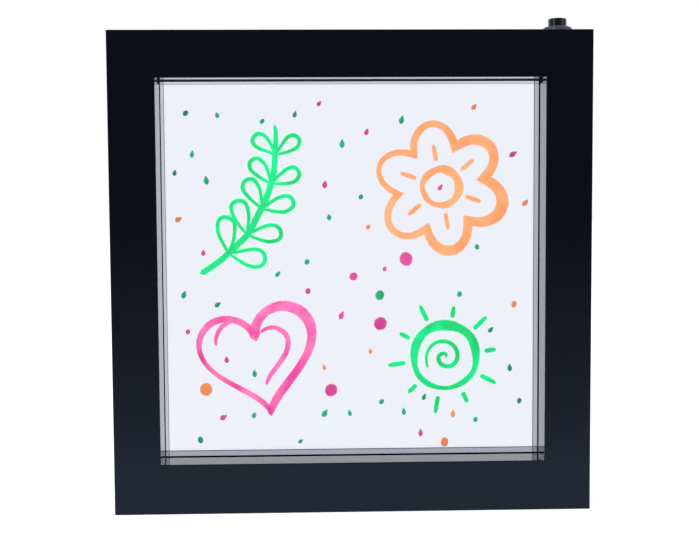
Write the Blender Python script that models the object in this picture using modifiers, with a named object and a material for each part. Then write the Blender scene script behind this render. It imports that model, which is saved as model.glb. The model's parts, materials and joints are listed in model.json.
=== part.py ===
"""Neon message board: a clear writing panel, lit at its side edges, in a deep black frame.

The frame is a moulded front housing closed by a rear cover, with the panel clamped between them.
The bottom rail holds three cells in a tray behind a hinged door. A push-button switch stands on the top.

Metres. X runs to the right, Y from the front to the back and Z up. The origin lies on the table,
under the middle of the frame.
"""

import math

import bmesh
import bpy
from mathutils import Matrix, Vector

# Frame
FRAME_WIDTH = 0.2200
FRAME_HEIGHT = 0.2210
BORDER_WIDTH = 0.0214  # of the sides and the top, seen from the front
HOUSING_WALL = 0.0020
EDGE_ROUNDING = 0.0003
FRONT_REVEAL_DEPTH = 0.0135  # from the front face to the panel
REAR_REVEAL_DEPTH = 0.0116  # from the panel to the rear face
SEAT_GAP = 0.0003  # between pieces that rest on each other
FINE_GAP = 0.00015  # between small pieces that are soldered or pressed together
CUT_OVERRUN = 0.0010
JOIN_OVERLAP = 0.0004

# Writing panel
PANEL_THICKNESS = 0.0050
PANEL_BITE = 0.0026  # of the panel's edge inside the frame
PANEL_GAP = 0.0002

# Rear cover
COVER_THICKNESS = 0.0020
RIM_WALL = 0.0011  # of the housing's lip round the cover
COVER_FIT = 0.0002

# Case screws, their wells in the cover and their bosses in the housing
SCREW_TOP_INSET = 0.0105
SCREW_TRAY_CLEARANCE = 0.0009  # between a lower boss and the cells' tray
SCREW_UPPER_INSET = 0.0076  # below the opening's top
TOP_SCREW_SPREAD = 0.0450
SCREW_HEAD_RADIUS = 0.0025
SCREW_HEAD_HEIGHT = 0.0015
SCREW_SHANK_RADIUS = 0.0013
SCREW_LENGTH = 0.0085
SCREW_TIP_LENGTH = 0.0012
SCREW_RECESS_WIDTH = 0.0007
SCREW_RECESS_DEPTH = 0.0009
SCREW_RECESS_SHARE = 0.6  # of the head's width
WELL_RADIUS = 0.0029
WELL_DEPTH = 0.0030
WELL_WALL = 0.0013
WELL_FLOOR = 0.0014
SCREW_HOLE_CLEARANCE = 0.0003
BOSS_RADIUS = 0.0035
BOSS_WEB = 0.0012
PILOT_CLEARANCE = 0.0002
PILOT_DEPTH = 0.0105

# Ribs inside the housing
RIB_WALL = 0.0015
GUSSET_WALL = 0.0012
GUSSET_HEIGHT = 0.0038
GUSSET_SHARES = (-0.72, -0.36, 0.0, 0.36, 0.72)  # places across the opening's half width
SIDE_GUSSET_SHARES = (0.25, 0.75)  # places up the opening's height
STOP_LENGTH = 0.0020
TOP_STOP_SPREAD = 0.0300
TOP_STOP_WIDTH = 0.0080

# Light boards along the panel's side edges
BOARD_THICKNESS = 0.0008
BOARD_WIDTH = 0.0080
BOARD_END_MARGIN = 0.0057
LED_COUNT = 6
LED_GAP = 0.0004
LED_HEIGHT = 0.0014
LED_WIDTH = 0.0028
LED_LENGTH = 0.0035
LED_WINDOW_SHARE = 0.8
RESISTOR_LENGTH = 0.0032
RESISTOR_WIDTH = 0.0016
RESISTOR_HEIGHT = 0.0006

# Cells and their tray
CELL_COUNT = 3
CELL_DIAMETER = 0.0145
CELL_LENGTH = 0.0505
CELL_NUB_RADIUS = 0.00275
CELL_NUB_HEIGHT = 0.0012
CELL_SHOULDER = 0.0008
CELL_CLEARANCE = 0.0005
TRAY_WALL = 0.0012
TRAY_STANDOFF = 0.0004
PANEL_REST_HEIGHT = 0.0005
PANEL_REST_LENGTH = 0.0100
PANEL_REST_SHARE = 0.69  # of the tray's half length
PARTITION_WALL = 0.0012
PARTITION_DROP = 0.0012
CONTACT_THICKNESS = 0.0004
CONTACT_WIDTH = 0.0090
CONTACT_DROP = 0.0010  # of a contact's rear edge below the door
TAB_LENGTH = 0.0030
TAB_WIDTH = 0.0030
TAB_RISE = 0.0030
CELL_SPRING_LENGTH = 0.0045
CELL_SPRING_WIRE = 0.0007
CELL_SPRING_BASE_RADIUS = 0.0046
CELL_SPRING_TIP_RADIUS = 0.0026
CELL_SPRING_TURNS = 2.5

# Battery door
DOOR_GAP = 0.0003
DOOR_PIN_RADIUS = 0.0005
DOOR_PIN_LENGTH = 0.0012
DOOR_PIN_CLEARANCE = 0.00012
TONGUE_WIDTH = 0.0110
TONGUE_LENGTH = 0.0080
TONGUE_SLIT = 0.0008
TONGUE_NOSE = 0.0008
GRIP_COUNT = 4
GRIP_DEPTH = 0.0004
GRIP_WIDTH = 0.0007
GRIP_PITCH = 0.0014

# Push-button switch
SWITCH_INSET = 0.0133  # from the frame's right side
COLLAR_RADIUS = 0.0070
COLLAR_SIDE = 0.0013
COLLAR_TOP_RADIUS = 0.0052
COLLAR_HEIGHT = 0.0032
BARREL_RADIUS = 0.0059
BARREL_CLEARANCE = 0.0002
BUTTON_RADIUS = 0.0042
BUTTON_RISE = 0.0038  # above the collar
BUTTON_ROUNDING = 0.0005
BUTTON_CLEARANCE = 0.00025
BUTTON_TRAVEL = 0.0020
GUIDE_DEPTH = 0.0010  # of the narrow bore below the frame's top
PLUNGER_RADIUS = 0.0047
PLUNGER_FLANGE = 0.0012
PLUNGER_STEM_RADIUS = 0.0015
BRIDGE_RADIUS = 0.0031
BRIDGE_THICKNESS = 0.0005
SWITCH_STANDOFF = 0.0005
BASE_THICKNESS = 0.0020
BASE_SPIGOT = 0.0015
NUT_ACROSS_FLATS = 0.0140
NUT_THICKNESS = 0.0020
NUT_SIDES = 6
NUT_CLEARANCE = 0.0001
TERMINAL_SPREAD = 0.0019
TERMINAL_WIDTH = 0.0020
TERMINAL_THICKNESS = 0.0005
TERMINAL_DROP = 0.0050
TERMINAL_HOLE_RADIUS = 0.0005
TERMINAL_HEAD_RADIUS = 0.0009
TERMINAL_HEAD_HEIGHT = 0.0007
RETURN_SPRING_RADIUS = 0.0039
RETURN_SPRING_WIRE = 0.0005
RETURN_SPRING_TURNS = 6.5

# Wires
WIRE_RADIUS = 0.0006
WIRE_PITCH = 0.0016
WIRE_BEND = 0.0060
WIRE_OVERLAP = 0.0034
LINK_LOW_Z = 0.0060
LINK_PITCH = 0.0030
WIRE_FORWARD_GAP = 0.0008  # above the tray

# Facets
ROUND_FACETS = 48
CELL_FACETS = 28
SCREW_FACETS = 16
BOSS_FACETS = 16
PIN_FACETS = 12
ROUNDING_STEPS = 3
ARCH_STEPS = 6
SPRING_STEPS = 10
WIRE_STEPS = 4
FINE_SIDES = 1  # a tube's bevel resolution
SMOOTH_ANGLE = math.radians(35)
MERGE_DISTANCE = 0.00001
MILLIMETRE = 0.001

# Places worked out from the sizes above
FRAME_DEPTH = FRONT_REVEAL_DEPTH + PANEL_GAP + PANEL_THICKNESS + PANEL_GAP + REAR_REVEAL_DEPTH
HALF_WIDTH = FRAME_WIDTH / 2
FRONT_Y = -FRAME_DEPTH / 2
REAR_Y = FRAME_DEPTH / 2
FRONT_WALL_Y = FRONT_Y + HOUSING_WALL
PANEL_FRONT_Y = FRONT_Y + FRONT_REVEAL_DEPTH + PANEL_GAP
PANEL_REAR_Y = PANEL_FRONT_Y + PANEL_THICKNESS
PANEL_Y = (PANEL_FRONT_Y + PANEL_REAR_Y) / 2
COVER_Y = REAR_Y - COVER_THICKNESS

TRAY_LOW = HOUSING_WALL + TRAY_STANDOFF
CELL_SPACE = CELL_DIAMETER + CELL_CLEARANCE
TRAY_INNER_LOW = TRAY_LOW + TRAY_WALL
TRAY_INNER_HIGH = TRAY_INNER_LOW + CELL_SPACE
TRAY_HIGH = TRAY_INNER_HIGH + TRAY_WALL
PANEL_LOW = TRAY_HIGH + PANEL_REST_HEIGHT + SEAT_GAP
OPENING_LOW = PANEL_LOW + PANEL_BITE
OPENING_HIGH = FRAME_HEIGHT - BORDER_WIDTH
OPENING_HALF = HALF_WIDTH - BORDER_WIDTH
OPENING_MID = (OPENING_LOW + OPENING_HIGH) / 2
PANEL_HIGH = OPENING_HIGH + PANEL_BITE
PANEL_HALF = OPENING_HALF + PANEL_BITE

CELL_Y = COVER_Y - CELL_SPACE / 2
CELL_Z = TRAY_INNER_LOW + CELL_SPACE / 2
TRAY_INNER_Y = COVER_Y - CELL_SPACE
TRAY_FRONT_Y = TRAY_INNER_Y - TRAY_WALL
CONTACT_SEAT = FINE_GAP + CONTACT_THICKNESS + FINE_GAP
STATION_LENGTH = CONTACT_SEAT + CELL_SPRING_LENGTH + FINE_GAP + CELL_LENGTH + CONTACT_SEAT
STATION_PITCH = STATION_LENGTH + PARTITION_WALL
TRAY_INNER_HALF = (CELL_COUNT * STATION_PITCH - PARTITION_WALL) / 2
TRAY_HALF = TRAY_INNER_HALF + TRAY_WALL

DOOR_LEDGE = TRAY_WALL / 2
POCKET_HALF = TRAY_INNER_HALF + DOOR_LEDGE
POCKET_LOW = TRAY_INNER_LOW - DOOR_LEDGE
POCKET_HIGH = TRAY_INNER_HIGH + DOOR_LEDGE
POCKET_Y = COVER_Y - SEAT_GAP
DOOR_ROUND = COVER_THICKNESS / 2
DOOR_PIVOT_Y = REAR_Y - DOOR_ROUND
DOOR_PIVOT_Z = POCKET_HIGH - DOOR_GAP - DOOR_ROUND
DOOR_HALF = POCKET_HALF - DOOR_GAP
DOOR_LOW = POCKET_LOW + DOOR_GAP

BOARD_LENGTH = OPENING_HIGH - OPENING_LOW - 2 * BOARD_END_MARGIN
BOARD_LOW = OPENING_MID - BOARD_LENGTH / 2
BOARD_HIGH = OPENING_MID + BOARD_LENGTH / 2
LED_PITCH = BOARD_LENGTH / LED_COUNT
LED_FACE = PANEL_HALF + LED_GAP
BOARD_FACE = LED_FACE + LED_HEIGHT + FINE_GAP
BOARD_BACK = BOARD_FACE + BOARD_THICKNESS
RIB_FACE = BOARD_BACK + SEAT_GAP
RIB_BACK = RIB_FACE + RIB_WALL

SWITCH_X = HALF_WIDTH - SWITCH_INSET
TOP_WALL_Z = FRAME_HEIGHT - HOUSING_WALL
GUIDE_Z = FRAME_HEIGHT - GUIDE_DEPTH
COLLAR_TOP_Z = FRAME_HEIGHT + COLLAR_HEIGHT
BASE_LOW_Z = PANEL_HIGH + SWITCH_STANDOFF
BASE_SEAT_Z = BASE_LOW_Z + BASE_THICKNESS
SPIGOT_Z = BASE_SEAT_Z + BASE_SPIGOT
BORE_RADIUS = PLUNGER_RADIUS + BUTTON_CLEARANCE
FLANGE_TOP_Z = GUIDE_Z - SEAT_GAP
FLANGE_LOW_Z = FLANGE_TOP_Z - PLUNGER_FLANGE
HEAD_TOP_Z = SPIGOT_Z + FINE_GAP + TERMINAL_HEAD_HEIGHT
BRIDGE_LOW_Z = HEAD_TOP_Z + FINE_GAP + BUTTON_TRAVEL
BRIDGE_TOP_Z = BRIDGE_LOW_Z + BRIDGE_THICKNESS
TERMINAL_TIP_Z = BASE_LOW_Z - TERMINAL_DROP

WIRE_CHANNEL = 2 * (WIRE_RADIUS + SEAT_GAP)  # between a boss and the frame's outer wall
SCREW_SIDE_INSET = HOUSING_WALL + WIRE_CHANNEL + BOSS_RADIUS
SCREW_LOWER_Z = TRAY_HIGH + SCREW_TRAY_CLEARANCE + BOSS_RADIUS
SCREW_UPPER_Z = OPENING_HIGH - SCREW_UPPER_INSET
BOSS_END_Y = REAR_Y - WELL_DEPTH - WELL_FLOOR - SEAT_GAP
STOP_END_Y = PANEL_FRONT_Y + STOP_LENGTH
GUSSET_Y = FRONT_WALL_Y + GUSSET_HEIGHT
WIRE_Y = GUSSET_Y + SEAT_GAP + WIRE_RADIUS

SIDES = {"left": -1, "right": 1}

PARTS = bpy.data.collections.new("neon_message_board")
TOOLS = bpy.data.collections.new("cutters_and_added_shapes")


def clear_scene():
    for old in list(bpy.data.objects):
        bpy.data.objects.remove(old)
    for collection in (PARTS, TOOLS):
        bpy.context.scene.collection.children.link(collection)


def plain_material(name, colour, roughness, metallic=0.0, transmission=0.0):
    material = bpy.data.materials.new(name)
    material.use_nodes = True
    shader = material.node_tree.nodes["Principled BSDF"]
    shader.inputs["Base Color"].default_value = (*colour, 1.0)
    shader.inputs["Roughness"].default_value = roughness
    shader.inputs["Metallic"].default_value = metallic
    shader.inputs["Transmission Weight"].default_value = transmission
    material.diffuse_color = (*colour, 1.0)
    return material


GLOSS_BLACK = plain_material("gloss_black_plastic", (0.008, 0.009, 0.013), 0.2)
SATIN_BLACK = plain_material("satin_black_plastic", (0.012, 0.013, 0.016), 0.4)
CLEAR_ACRYLIC = plain_material("clear_acrylic", (0.95, 0.97, 1.0), 0.02, transmission=1.0)
BOARD_WHITE = plain_material("white_board", (0.8, 0.8, 0.78), 0.5)
LED_CREAM = plain_material("led_cream", (0.9, 0.85, 0.5), 0.4)
RESISTOR_DARK = plain_material("resistor_dark", (0.03, 0.03, 0.03), 0.5)
SPRING_STEEL = plain_material("nickelled_steel", (0.6, 0.6, 0.58), 0.25, metallic=1.0)
BRASS = plain_material("brass", (0.7, 0.5, 0.2), 0.3, metallic=1.0)
ZINC_STEEL = plain_material("zinc_plated_steel", (0.5, 0.5, 0.52), 0.35, metallic=1.0)
CELL_WRAP = plain_material("cell_wrap", (0.02, 0.02, 0.025), 0.3)
RED_PVC = plain_material("red_wire", (0.5, 0.02, 0.02), 0.45)
BLACK_PVC = plain_material("black_wire", (0.015, 0.015, 0.015), 0.45)


def smooth(mesh):
    mesh.shade_smooth()
    mesh.set_sharp_from_angle(angle=SMOOTH_ANGLE)


def part(name, mesh, material, place=(0, 0, 0), turn=(0, 0, 0)):
    """A named piece of the board, with its material, at its place."""
    made = bpy.data.objects.new(name, mesh)
    if not mesh.materials:
        mesh.materials.append(material)
    made.location = place
    made.rotation_euler = turn
    PARTS.objects.link(made)
    return made


def tool(name, mesh):
    """A helper shape that is cut from a piece, or joined to one."""
    made = bpy.data.objects.new(name, mesh)
    made.hide_render = True
    made.display_type = "WIRE"
    TOOLS.objects.link(made)
    return made


def combine(target, helper, operation):
    step = target.modifiers.new(operation.lower() + "_" + helper.name, "BOOLEAN")
    step.operation = operation
    step.object = helper


def cut(target, helper):
    combine(target, helper, "DIFFERENCE")


def join(target, helper):
    combine(target, helper, "UNION")


def finished_mesh(made):
    """The object's mesh with its modifiers applied, for several objects to share."""
    bpy.context.view_layer.update()
    graph = bpy.context.evaluated_depsgraph_get()
    mesh = bpy.data.meshes.new_from_object(made.evaluated_get(graph))
    mesh.name = made.name
    bpy.data.objects.remove(made)
    return mesh


def mesh_from(shape, name):
    mesh = bpy.data.meshes.new(name)
    shape.to_mesh(mesh)
    shape.free()
    return mesh


def boxes(name, corners):
    """One mesh of separate boxes, each between its lowest and its highest corner."""
    shape = bmesh.new()
    for low, high in corners:
        low, high = Vector(low), Vector(high)
        size = Matrix.Diagonal((high - low).to_4d())
        bmesh.ops.create_cube(shape, size=1, matrix=Matrix.Translation((low + high) / 2) @ size)
    return mesh_from(shape, name)


def rods(name, ends, radius, facets):
    """One mesh of separate round rods, each from its start to its end."""
    shape = bmesh.new()
    for start, end in ends:
        start, end = Vector(start), Vector(end)
        along = (end - start).to_track_quat("Z", "Y").to_matrix().to_4x4()
        bmesh.ops.create_cone(
            shape,
            cap_ends=True,
            segments=facets,
            radius1=radius,
            radius2=radius,
            depth=(end - start).length,
            matrix=Matrix.Translation((start + end) / 2) @ along,
        )
    mesh = mesh_from(shape, name)
    smooth(mesh)
    return mesh


def turned(name, profile, material, facets, place=(0, 0, 0), turn=(0, 0, 0), closed=False):
    """A round piece, from a profile of (radius, height) points that runs down its outer side."""
    mesh = bpy.data.meshes.new(name)
    edges = [(i, i + 1) for i in range(len(profile) - 1)]
    if closed:
        edges.append((len(profile) - 1, 0))
    mesh.from_pydata([(radius, 0, height) for radius, height in profile], edges, [])
    made = part(name, mesh, material, place, turn)
    screw = made.modifiers.new("turn", "SCREW")
    screw.steps = facets
    screw.render_steps = facets
    screw.use_merge_vertices = True
    screw.merge_threshold = MERGE_DISTANCE
    screw.use_smooth_shade = True
    return made


def quarter_round(centre, radii, steps):
    """Points of a quarter of an ellipse about centre, from its top down to its outer side."""
    found = []
    for i in range(steps + 1):
        angle = math.pi / 2 * i / steps
        found.append((centre[0] + radii[0] * math.sin(angle), centre[1] + radii[1] * math.cos(angle)))
    return found


def outline_part(name, points, thickness, material, place=(0, 0, 0), turn=(0, 0, 0)):
    """A flat piece: a closed outline in its own XY plane, thickened evenly to both sides."""
    curve = bpy.data.curves.new(name, "CURVE")
    curve.dimensions = "2D"
    curve.fill_mode = "BOTH"
    curve.extrude = thickness / 2
    spline = curve.splines.new("POLY")
    spline.points.add(len(points) - 1)
    for held, (x, y) in zip(spline.points, points):
        held.co = (x, y, 0, 1)
    spline.use_cyclic_u = True
    made = bpy.data.objects.new(name, curve)
    PARTS.objects.link(made)
    made.location = place
    made.rotation_euler = turn
    bpy.context.view_layer.update()
    placed = made.matrix_world.copy()
    mesh = welded_mesh(made)
    made = part(name, mesh, material)
    made.matrix_world = placed
    return made


def welded_mesh(made):
    """A curve object's mesh, closed where its caps meet its sides. The curve is removed."""
    mesh = finished_mesh(made)
    shape = bmesh.new()
    shape.from_mesh(mesh)
    bmesh.ops.remove_doubles(shape, verts=shape.verts, dist=MERGE_DISTANCE)
    bmesh.ops.recalc_face_normals(shape, faces=shape.faces)
    shape.to_mesh(mesh)
    shape.free()
    return mesh


def tube(name, points, radius, material):
    """A round tube along points, with filled ends."""
    curve = bpy.data.curves.new(name, "CURVE")
    curve.dimensions = "3D"
    curve.bevel_depth = radius
    curve.bevel_resolution = FINE_SIDES
    curve.use_fill_caps = True
    spline = curve.splines.new("POLY")
    spline.points.add(len(points) - 1)
    for held, point in zip(spline.points, points):
        held.co = (*point, 1)
    curve.materials.append(material)
    made = bpy.data.objects.new(name, curve)
    PARTS.objects.link(made)
    return made


def wire(name, points, material):
    """A wire that runs smoothly within the corners given, from the first point to the last."""
    made = tube(name, points, WIRE_RADIUS, material)
    spline = made.data.splines[0]
    spline.type = "NURBS"
    spline.order_u = 3
    spline.resolution_u = WIRE_STEPS
    spline.use_endpoint_u = True


def helix(axis_start, axis_end, start_radius, end_radius, turns):
    """Points of a coil between two places on its axis."""
    start, end = Vector(axis_start), Vector(axis_end)
    turn_to = (end - start).to_track_quat("Z", "Y")
    count = round(turns * SPRING_STEPS)
    points = []
    for i in range(count + 1):
        share = i / count
        angle = 2 * math.pi * turns * share
        radius = start_radius + (end_radius - start_radius) * share
        across = Vector((math.cos(angle), math.sin(angle), 0)) * radius
        points.append(start.lerp(end, share) + turn_to @ across)
    return points


def least_gap(points, wire):
    """The smallest free space between turns that are half a turn or more apart along the coil."""
    apart = SPRING_STEPS // 2
    nearest = min(
        (a - b).length
        for i, a in enumerate(points)
        for b in points[i + apart:]
    )
    return nearest - wire


def frame_sheet(outer_low, outer_high, face_y, reveal_y, wall_y=None):
    """An open sheet: a square ring at face_y, with walls from its opening to reveal_y.

    Where wall_y is given, it also has walls from its outer edges to there.
    """
    shape = bmesh.new()
    centre = Vector((0, face_y, (outer_low[1] + outer_high[1]) / 2))
    size = Matrix.Diagonal((outer_high[0] - outer_low[0], 1, outer_high[1] - outer_low[1], 1))
    place = Matrix.Translation(centre) @ size @ Matrix.Rotation(math.pi / 2, 4, "X")
    bmesh.ops.create_grid(shape, x_segments=1, y_segments=1, size=1 / 2, matrix=place)
    middle = shape.faces[:]
    bmesh.ops.inset_individual(shape, faces=middle, thickness=BORDER_WIDTH / 2, use_even_offset=True)
    for corner in middle[0].verts:
        corner.co.x = math.copysign(OPENING_HALF, corner.co.x)
        corner.co.z = OPENING_HIGH if corner.co.z > centre.z else OPENING_LOW
    opening = middle[0].edges[:]
    bmesh.ops.delete(shape, geom=middle, context="FACES_ONLY")
    outline = [edge for edge in shape.edges if edge.is_boundary and edge not in opening]
    walls = [(opening, reveal_y)]
    if wall_y is not None:
        walls.append((outline, wall_y))
    for edges, end_y in walls:
        grown = bmesh.ops.extrude_edge_only(shape, edges=edges)["geom"]
        moved = [item for item in grown if isinstance(item, bmesh.types.BMVert)]
        bmesh.ops.translate(shape, verts=moved, vec=(0, end_y - face_y, 0))
    bmesh.ops.recalc_face_normals(shape, faces=shape.faces)
    ring = max(shape.faces, key=lambda face: abs(face.normal.y))
    if ring.normal.y * face_y < 0:
        bmesh.ops.reverse_faces(shape, faces=shape.faces)
    weights = shape.edges.layers.float.new("bevel_weight_edge")
    for edge in shape.edges:
        if len(edge.link_faces) == 2 and edge.calc_face_angle() > SMOOTH_ANGLE:
            edge[weights] = 1
    return shape


def frame_shell(name, shape, thickness, material):
    """A moulded shell: an open sheet given a wall and rounded edges."""
    made = part(name, mesh_from(shape, name), material)
    wall = made.modifiers.new("wall", "SOLIDIFY")
    wall.thickness = thickness
    wall.offset = -1
    wall.use_even_offset = True
    wall.use_quality_normals = True
    rounding = made.modifiers.new("rounding", "BEVEL")
    rounding.limit_method = "WEIGHT"
    rounding.width = EDGE_ROUNDING
    rounding.segments = 2
    return made


def screw_places():
    """(x, z) of each case screw."""
    side_x = HALF_WIDTH - SCREW_SIDE_INSET
    heights = (SCREW_LOWER_Z, (SCREW_LOWER_Z + SCREW_UPPER_Z) / 2, SCREW_UPPER_Z)
    places = [(side * side_x, height) for side in SIDES.values() for height in heights]
    top = FRAME_HEIGHT - SCREW_TOP_INSET
    return places + [(side * TOP_SCREW_SPREAD, top) for side in SIDES.values()]


def span(side, near, far):
    """The lowest and highest X between two distances from the middle, on one side."""
    return (side * near, side * far) if side > 0 else (side * far, side * near)


def add_bosses(housing):
    """Screw bosses from the front wall, with a web that ties each to the frame's outer wall."""
    start = FRONT_WALL_Y - JOIN_OVERLAP
    half = BOSS_WEB / 2
    inner = BOSS_RADIUS / 2
    wall_x = HALF_WIDTH - HOUSING_WALL + JOIN_OVERLAP
    bosses, webs, pilots = [], [], []
    for x, z in screw_places():
        bosses.append(((x, start, z), (x, BOSS_END_Y, z)))
        pilots.append(((x, BOSS_END_Y - PILOT_DEPTH, z), (x, BOSS_END_Y + CUT_OVERRUN, z)))
        if z > TOP_WALL_Z - SCREW_TOP_INSET:
            low, high = (x - half, start, z + inner), (x + half, GUSSET_Y, TOP_WALL_Z + JOIN_OVERLAP)
        else:
            low_x, high_x = span(math.copysign(1, x), abs(x) + inner, wall_x)
            low, high = (low_x, start, z - half), (high_x, GUSSET_Y, z + half)
        webs.append((low, high))
    posts = tool("screw_bosses", rods("screw_bosses", bosses, BOSS_RADIUS, BOSS_FACETS))
    pilot_radius = SCREW_SHANK_RADIUS + PILOT_CLEARANCE
    cut(posts, tool("pilot_holes", rods("pilot_holes", pilots, pilot_radius, PIN_FACETS)))
    join(housing, posts)
    join(housing, tool("boss_webs", boxes("boss_webs", webs)))


def add_board_ribs(housing):
    """A long rib behind each light board, and stops past its ends that also centre the panel."""
    start = FRONT_WALL_Y - JOIN_OVERLAP
    ribs, stops = [], []
    for side in SIDES.values():
        low_x, high_x = span(side, RIB_FACE, RIB_BACK)
        ribs.append(((low_x, start, BOARD_LOW), (high_x, PANEL_Y + BOARD_WIDTH / 2, BOARD_HIGH)))
        low_x, high_x = span(side, PANEL_HALF + SEAT_GAP, RIB_BACK)
        for low_z, high_z in (
            (BOARD_LOW - SEAT_GAP - STOP_LENGTH, BOARD_LOW - SEAT_GAP),
            (BOARD_HIGH + SEAT_GAP, BOARD_HIGH + SEAT_GAP + STOP_LENGTH),
        ):
            stops.append(((low_x, start, low_z), (high_x, STOP_END_Y, high_z)))
    join(housing, tool("board_ribs", boxes("board_ribs", ribs)))
    join(housing, tool("board_stops", boxes("board_stops", stops)))


def add_top_stops(housing):
    """Two blocks over the panel's top edge."""
    start = FRONT_WALL_Y - JOIN_OVERLAP
    low_z = PANEL_HIGH + SEAT_GAP
    stops = []
    for side in SIDES.values():
        middle = side * TOP_STOP_SPREAD
        low = (middle - TOP_STOP_WIDTH / 2, start, low_z)
        high = (middle + TOP_STOP_WIDTH / 2, PANEL_Y, low_z + STOP_LENGTH)
        stops.append((low, high))
    join(housing, tool("top_stops", boxes("top_stops", stops)))


def add_gussets(housing):
    """Low stiffening ribs across the rails, which also carry the wires."""
    start = FRONT_WALL_Y - JOIN_OVERLAP
    ribs = []
    for share in GUSSET_SHARES:
        middle = share * OPENING_HALF
        low_x, high_x = middle - GUSSET_WALL / 2, middle + GUSSET_WALL / 2
        bottom = (HOUSING_WALL - JOIN_OVERLAP, OPENING_LOW - HOUSING_WALL + JOIN_OVERLAP)
        top = (OPENING_HIGH + HOUSING_WALL - JOIN_OVERLAP, TOP_WALL_Z + JOIN_OVERLAP)
        for low_z, high_z in (bottom, top):
            ribs.append(((low_x, start, low_z), (high_x, GUSSET_Y, high_z)))
    for side in SIDES.values():
        low_x, high_x = span(side, RIB_BACK - JOIN_OVERLAP, HALF_WIDTH - HOUSING_WALL + JOIN_OVERLAP)
        for share in SIDE_GUSSET_SHARES:
            middle = OPENING_LOW + share * (OPENING_HIGH - OPENING_LOW)
            low_z, high_z = middle - GUSSET_WALL / 2, middle + GUSSET_WALL / 2
            ribs.append(((low_x, start, low_z), (high_x, GUSSET_Y, high_z)))
    join(housing, tool("gussets", boxes("gussets", ribs)))


def front_housing():
    outer_low, outer_high = (-HALF_WIDTH, 0), (HALF_WIDTH, FRAME_HEIGHT)
    shape = frame_sheet(outer_low, outer_high, FRONT_Y, FRONT_Y + FRONT_REVEAL_DEPTH, REAR_Y)
    housing = frame_shell("front_housing", shape, HOUSING_WALL, GLOSS_BLACK)
    rebate_half = HALF_WIDTH - RIM_WALL
    rebate = (
        (-rebate_half, COVER_Y - SEAT_GAP, RIM_WALL),
        (rebate_half, REAR_Y + CUT_OVERRUN, FRAME_HEIGHT - RIM_WALL),
    )
    cut(housing, tool("cover_rebate", boxes("cover_rebate", [rebate])))
    hole = ((SWITCH_X, 0, TOP_WALL_Z - CUT_OVERRUN), (SWITCH_X, 0, FRAME_HEIGHT + CUT_OVERRUN))
    hole_radius = BARREL_RADIUS + BARREL_CLEARANCE
    cut(housing, tool("switch_hole", rods("switch_hole", [hole], hole_radius, ROUND_FACETS)))
    add_board_ribs(housing)
    add_top_stops(housing)
    add_gussets(housing)
    add_bosses(housing)


def station_low_x(index):
    return -TRAY_INNER_HALF + index * STATION_PITCH


def add_tray(cover):
    """The cells' tray, moulded on the inside of the cover, with a partition between cells."""
    block = ((-TRAY_HALF, TRAY_FRONT_Y, TRAY_LOW), (TRAY_HALF, COVER_Y + JOIN_OVERLAP, TRAY_HIGH))
    join(cover, tool("tray_block", boxes("tray_block", [block])))
    rests = []
    for side in SIDES.values():
        middle = side * PANEL_REST_SHARE * TRAY_HALF
        low = (middle - PANEL_REST_LENGTH / 2, PANEL_FRONT_Y, TRAY_HIGH - JOIN_OVERLAP)
        high = (middle + PANEL_REST_LENGTH / 2, PANEL_REAR_Y, TRAY_HIGH + PANEL_REST_HEIGHT)
        rests.append((low, high))
    join(cover, tool("panel_rests", boxes("panel_rests", rests)))
    stations = []
    for index in range(CELL_COUNT):
        low_x = station_low_x(index)
        low = (low_x, TRAY_INNER_Y, TRAY_INNER_LOW)
        stations.append((low, (low_x + STATION_LENGTH, REAR_Y + CUT_OVERRUN, TRAY_INNER_HIGH)))
    cut(cover, tool("cell_stations", boxes("cell_stations", stations)))
    low = (-TRAY_INNER_HALF, COVER_Y - PARTITION_DROP, TRAY_INNER_LOW)
    high = (TRAY_INNER_HALF, REAR_Y + CUT_OVERRUN, TRAY_INNER_HIGH)
    cut(cover, tool("partition_tops", boxes("partition_tops", [(low, high)])))
    slits = []
    for side in SIDES.values():
        low_x, high_x = span(side, TRAY_INNER_HALF - CONTACT_SEAT, TRAY_INNER_HALF)
        low = (low_x, TRAY_FRONT_Y - CUT_OVERRUN, CELL_Z + TAB_RISE - TAB_WIDTH / 2 - FINE_GAP)
        high = (high_x, TRAY_INNER_Y + CUT_OVERRUN, CELL_Z + TAB_RISE + TAB_WIDTH / 2 + FINE_GAP)
        slits.append((low, high))
    cut(cover, tool("tab_slits", boxes("tab_slits", slits)))


def add_door_pocket(cover):
    """The recess that the battery door fills, its hinge sockets and the notch for its latch."""
    pocket = ((-POCKET_HALF, POCKET_Y, POCKET_LOW), (POCKET_HALF, REAR_Y + CUT_OVERRUN, POCKET_HIGH))
    cut(cover, tool("door_pocket", boxes("door_pocket", [pocket])))
    sockets = []
    for side in SIDES.values():
        start = side * (POCKET_HALF - CUT_OVERRUN)
        end = side * (DOOR_HALF + DOOR_PIN_LENGTH + FINE_GAP)
        sockets.append(((start, DOOR_PIVOT_Y, DOOR_PIVOT_Z), (end, DOOR_PIVOT_Y, DOOR_PIVOT_Z)))
    radius = DOOR_PIN_RADIUS + DOOR_PIN_CLEARANCE
    cut(cover, tool("hinge_sockets", rods("hinge_sockets", sockets, radius, PIN_FACETS)))
    half = TONGUE_WIDTH / 2 - TONGUE_SLIT + DOOR_GAP
    low = (-half, POCKET_Y, DOOR_LOW - TONGUE_NOSE - DOOR_GAP)
    notch = (low, (half, REAR_Y + CUT_OVERRUN, POCKET_LOW + CUT_OVERRUN))
    cut(cover, tool("latch_notch", boxes("latch_notch", [notch])))


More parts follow.
